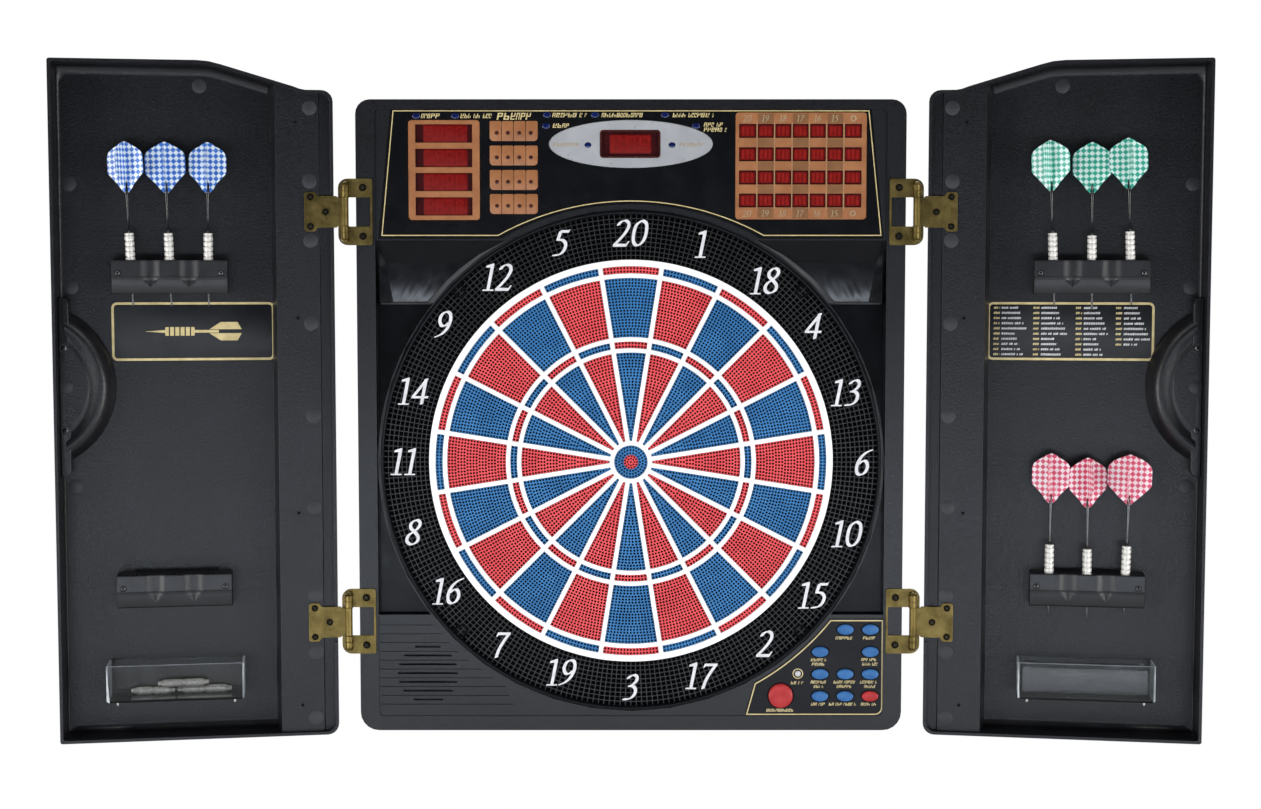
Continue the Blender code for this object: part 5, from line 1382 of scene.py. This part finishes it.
def make_bin(label, side):
    body = "door_" + label
    middle_x, middle_y = (door_frame(side) @ Vector((side * RACK_CENTRE, 0.0, 17.0))).xy

    def end_walls(centre, normal):
        """Slot 1 for the ends, which carry a painted highlight, slot 0 for the clear rest."""
        return 1 if math.hypot(centre.x * MM - middle_x, centre.y * MM - middle_y) > 63.2 * MM else 0

    refined("storage_bin_" + label, "clear_bin_" + label, body, [CLEAR, PAINTED_GLINT], 0.35, 2, end_walls)
    # Painted highlights: bright strips along the bin's two ends and its top edge.
    glints = Shape(door_frame(side))
    middle = side * RACK_CENTRE
    for sign in (-1, 1):
        u0, u1 = sorted((middle + sign * BIN_HALF, middle + sign * (BIN_HALF - 1.7)))
        glints.prism(rect(u0, -227.6, u1, BIN_TOP - 0.4), BIN_FRONT - 0.1, BIN_FRONT + 0.2, 0, 0.12)
    glints.prism(rect(middle - BIN_HALF, BIN_TOP - 0.8, middle + BIN_HALF, BIN_TOP - 0.15), BIN_FRONT - 0.1,
                 BIN_FRONT + 0.2, 0)
    emit(glints, "bin_painted_glints_" + label, body, [PAINTED_GLINT])
    pegs = Shape(door_frame(side))
    for along in (100.3, 211.6):
        for profile in ([(0.01, -4.6), (0.8, -4.4), (1.1, -3.6), (1.2, 0.2)],
                        [(2.2, -0.9), (2.4, -0.6), (2.4, 0.2)]):
            pegs.lathe(profile, (side * along, -229.3, 24.0), "v", 16)
    emit(pegs, "bin_pegs_" + label, body, [KNURL_AND_GROOVE_SHADE])
    if side < 0:
        loose = Shape(door_frame(side))
        for start, end, radius in (((-200.0, -223.3, 7.5), (-158.6, -223.3, 8.5), 3.75),
                                   ((-156.0, -223.3, 6.5), (-104.0, -223.3, 7.0), 3.75),
                                   ((-174.5, -216.4, 9.5), (-126.0, -216.2, 9.0), 3.6)):
            barrel_piece(loose, start, end, radius)
        emit(loose, "loose_barrels", body, [KNURL_AND_GROOVE_SHADE])
    else:
        make_bag(middle, body, side)


def make_bag(centre, body, side):
    """Crumpled clear bag lying in the right bin: two creased faces joined round their edge."""
    shape = Shape(door_frame(side))
    columns, rows = 90, 26
    half_u, half_v = 60.0, 14.0
    for face in (1, -1):
        rings = []
        for j in range(rows + 1):
            row = []
            for i in range(columns + 1):
                x, y = i / columns * 2 - 1, j / rows * 2 - 1
                edge = (1 - x ** 6) * (1 - y ** 4)
                fold = noise.noise(Vector((x * 5.0, y * 2.2, face * 3.1))) + 0.6 * noise.noise(
                    Vector((x * 15.0, y * 6.0, face * 7.7)))
                ridge = abs(noise.noise(Vector((x * 9.0 + y * 3.0, y * 4.0, 11.0 * face))))
                w = 17.0 + face * edge * (5.2 + 3.2 * fold + 4.0 * ridge)
                u = centre + x * half_u + 0.9 * noise.noise(Vector((y * 4.0, x * 2.0, 5.0)))
                v = -213.0 + y * half_v * (0.86 + 0.12 * noise.noise(Vector((x * 6.0, face * 2.0, 1.0))))
                row.append((u, max(v, -227.0), min(max(w, 3.2), 31.4)))
            rings.append(row)
        shape.bands(rings if face < 0 else [r[::-1] for r in rings], closed=False)
    emit(shape, "clear_bag", body, [FILM], sharp=180.0)


# ---------------------------------------------------------------- darts
LEANS = {"blue": (-0.3, 1.7, 2.3), "green": (2.2, 0.7, 2.0), "red": (-0.5, 0.3, -1.5)}
TURNS = {"blue": (8.0, 3.0, 24.0), "green": (24.0, 4.0, -8.0), "red": (12.0, -14.0, 10.0)}
REACHES = {"blue": (17.9, 19.0, 18.8), "green": (19.2, 18.2, 18.4), "red": (18.4, 18.6, 20.8)}
HEIGHTS = {"blue": (0.0, 0.0, 0.0), "green": (0.2, -2.2, 1.6), "red": (2.2, -1.5, 2.2)}
FIN_FOOT = {"blue": 109.4, "green": 111.2, "red": 111.2}
FIN_TALL, FIN_BOW, FIN_HALF_THICK = 48.6, 0.55, 0.11
FIN_EDGE = ((9.4, 8.6), (3.4, 14.8), (0.9, 17.4), (0.2, 18.6), (0.0, 20.4), (0.0, 33.6), (0.5, 36.0),
            (2.1, 38.8), (5.1, 41.4), (10.2, 44.4))
BARREL_RIDGE = ((4.2, 0.0), (4.42, 1.1), (4.45, 2.4), (4.42, 3.4), (4.2, 4.0), (3.5, 4.2), (3.5, 4.75))


def make_dart(colour, number, side, top):
    """Point, grooved barrel, shaft and a flight of four bowed fins."""
    name = "dart_%s_%d" % (colour, number + 1)
    centre_u = side * (RACK_CENTRE + DART_PITCH * (number - 1))
    base = top - 45.0 + HEIGHTS[colour][number]
    pivot = Matrix.Translation((centre_u, base + 36.0, DART_STAND))
    lean = pivot @ Matrix.Rotation(math.radians(LEANS[colour][number]), 4, "Z") @ pivot.inverted()
    place = door_frame(side) @ lean
    shape = Shape(place)
    centre = (centre_u, base, DART_STAND)
    shape.lathe([(0.01, 0.0), (0.55, 0.7), (0.85, 2.0), (1.1, 12.0), (1.15, 17.0), (1.9, 19.5), (2.9, 20.4),
                 (3.6, 21.0)], centre, "v", 14, 1)
    barrel = [(3.6, 21.0), (3.85, 23.0), (3.95, 26.0), (3.95, 43.4)]
    height = 43.8
    while height < 68.0:
        barrel += [(radius, height + h) for radius, h in BARREL_RIDGE]
        height += 4.95
    barrel += [(4.2, 68.8), (4.3, 69.4), (4.1, 70.6), (2.2, 70.9)]
    # Groove bottoms take slot 2, the darker steel, as painted groove shade.
    slots = [2 if barrel[i][0] < 3.6 and barrel[i + 1][0] < 3.6 else 0 for i in range(len(barrel) - 1)]
    shape.lathe(barrel, centre, "v", 28, 0, slots=slots)
    shape.lathe([(2.2, 70.9), (1.5, 72.0), (1.0, 74.0), (1.05, 86.0), (1.3, 98.0), (1.6, 106.0),
                 (1.75, 109.5), (1.7, 113.0), (1.3, 118.0), (0.5, 120.5), (0.01, 120.8)], centre, "v", 14, 1)
    emit(shape, name + "_body", name, [BARREL, SHAFT, KNURL_AND_GROOVE_SHADE], (name,), 40.0)
    fins = Shape(place)
    reach, foot = REACHES[colour][number], FIN_FOOT[colour]
    for k in range(4):
        angle = math.radians(TURNS[colour][number] + 90.0 * k)
        outline = [(0.0, 0.0), (2.2, 0.0), (5.2, 3.0), *((reach - back, h) for back, h in FIN_EDGE),
                   (4.2, 46.9), (0.0, FIN_TALL)]
        for face in (1, -1):
            points = []
            for r, h in outline:
                bow = FIN_BOW * math.sin(r / reach * math.pi) * math.sin(h / FIN_TALL * math.pi)
                off = face * FIN_HALF_THICK + bow
                points.append((centre_u + r * math.cos(angle) - off * math.sin(angle), base + foot + h,
                               DART_STAND + r * math.sin(angle) + off * math.cos(angle)))
            order = list(range(len(points)))
            start = fins.put(points, [order if face < 0 else order[::-1]])
            for i, (r, h) in enumerate(outline):
                fins.uvs[start + i] = (r * (1 if k % 2 else -1) + 40.0, h)
        count = len(outline)
        low, high = start - count, start
        for i in range(count):
            j = (i + 1) % count
            fins.faces.append([low + i, low + j, high + j, high + i])
            fins.slots.append(0)
    emit(fins, name + "_flight", name, [FLIGHTS[colour]], weld=False)


# ---------------------------------------------------------------- studio
SENSOR, FOCAL_LENGTH, CAMERA_DOWN = 36.0, 1950.0 / 1261.0, 3.97
STAGE_HEIGHT, STAGE_HALF, STAGE_BACK, STAGE_FRONT = -900.0, 3500.0, -1650.0, 5000.0


def area_light(name, place, target, size, power, colour=(1.0, 1.0, 1.0)):
    light = bpy.data.lights.new(name, "AREA")
    light.shape = "RECTANGLE"
    light.size, light.size_y = size
    light.energy = power
    light.color = colour
    obj = bpy.data.objects.new(name, light)
    bpy.context.scene.collection.objects.link(obj)
    obj.location = place
    obj.rotation_euler = (Vector(target) - Vector(place)).to_track_quat("-Z", "Y").to_euler()


def make_studio():
    scene = bpy.context.scene
    scene.view_settings.view_transform = "Standard"
    camera = bpy.data.objects.new("camera", bpy.data.cameras.new("camera"))
    scene.collection.objects.link(camera)
    camera.location = (-0.0004, -1.9465, 0.1879)
    camera.rotation_euler = (math.radians(90.0 - CAMERA_DOWN), 0.0, 0.0)
    camera.data.sensor_width = SENSOR
    camera.data.lens = FOCAL_LENGTH * SENSOR
    camera.data.clip_start = 0.05
    scene.camera = camera
    world = bpy.data.worlds.new("studio")
    scene.world = world
    world.use_nodes = True
    tree = world.node_tree
    shown = tree.nodes["Background"]
    shown.inputs["Color"].default_value = (1.0, 1.0, 1.0, 1.0)
    shown.inputs["Strength"].default_value = 1.0
    fill = tree.nodes.new("ShaderNodeBackground")
    fill.inputs["Color"].default_value = (0.95, 0.98, 1.0, 1.0)
    fill.inputs["Strength"].default_value = 0.025
    path = tree.nodes.new("ShaderNodeLightPath")
    mix = tree.nodes.new("ShaderNodeMixShader")
    tree.links.new(path.outputs["Is Camera Ray"], mix.inputs["Fac"])
    tree.links.new(fill.outputs["Background"], mix.inputs[1])
    tree.links.new(shown.outputs["Background"], mix.inputs[2])
    tree.links.new(mix.outputs["Shader"], tree.nodes["World Output"].inputs["Surface"])
    middle, square = (0.0, 0.0, 0.05), (1.4, 1.4)
    for label, side in SIDES:
        area_light("key_" + label, (side * 2.5, -1.8, -0.35), middle, square, 56.0)
    area_light("low_front", (0.0, -2.3, -0.40), (0.0, 0.0, -0.05), (2.6, 0.24), 13.0, (0.80, 0.88, 1.0))
    for label, side in SIDES:
        area_light("top_" + label, (side * 1.6, -1.6, 2.3), middle, square, 20.0)
    for label, side in SIDES:
        area_light("back_" + label, (side * 2.1, 1.9, -0.3), middle, square, 36.0)
    area_light("back_top", (0.0, 2.4, 2.2), middle, (2.4, 1.0), 45.0)
    floor = Shape()
    corners = rect(-STAGE_HALF, STAGE_BACK, STAGE_HALF, STAGE_FRONT)
    floor.put([(u, STAGE_HEIGHT, w) for u, w in corners], [(3, 2, 1, 0)])
    mesh = bpy.data.meshes.new("floor")
    mesh.from_pydata([CABINET @ Vector(p) for p in floor.points], [], floor.faces)
    pale = surface("floor_pale", (0.86, 0.86, 0.86), (0.9, 0.9, 0.9), (0.6, 0.8), 20.0, 0.0, 3.0)
    mesh.materials.append(pale)
    floor_obj = bpy.data.objects.new("floor", mesh)
    scene.collection.objects.link(floor_obj)


make_studio()
make_cabinet()
make_display_panel()
make_control_panel()
make_target()
for side_label, side_sign in SIDES:
    make_hinges(side_label, side_sign)
    make_door(side_label, side_sign)
for dart_colour, dart_side, rack in (("blue", -1, 0), ("green", 1, 0), ("red", 1, 1)):
    for dart_number in range(3):
        make_dart(dart_colour, dart_number, dart_side, RACK_TOPS[rack][1])
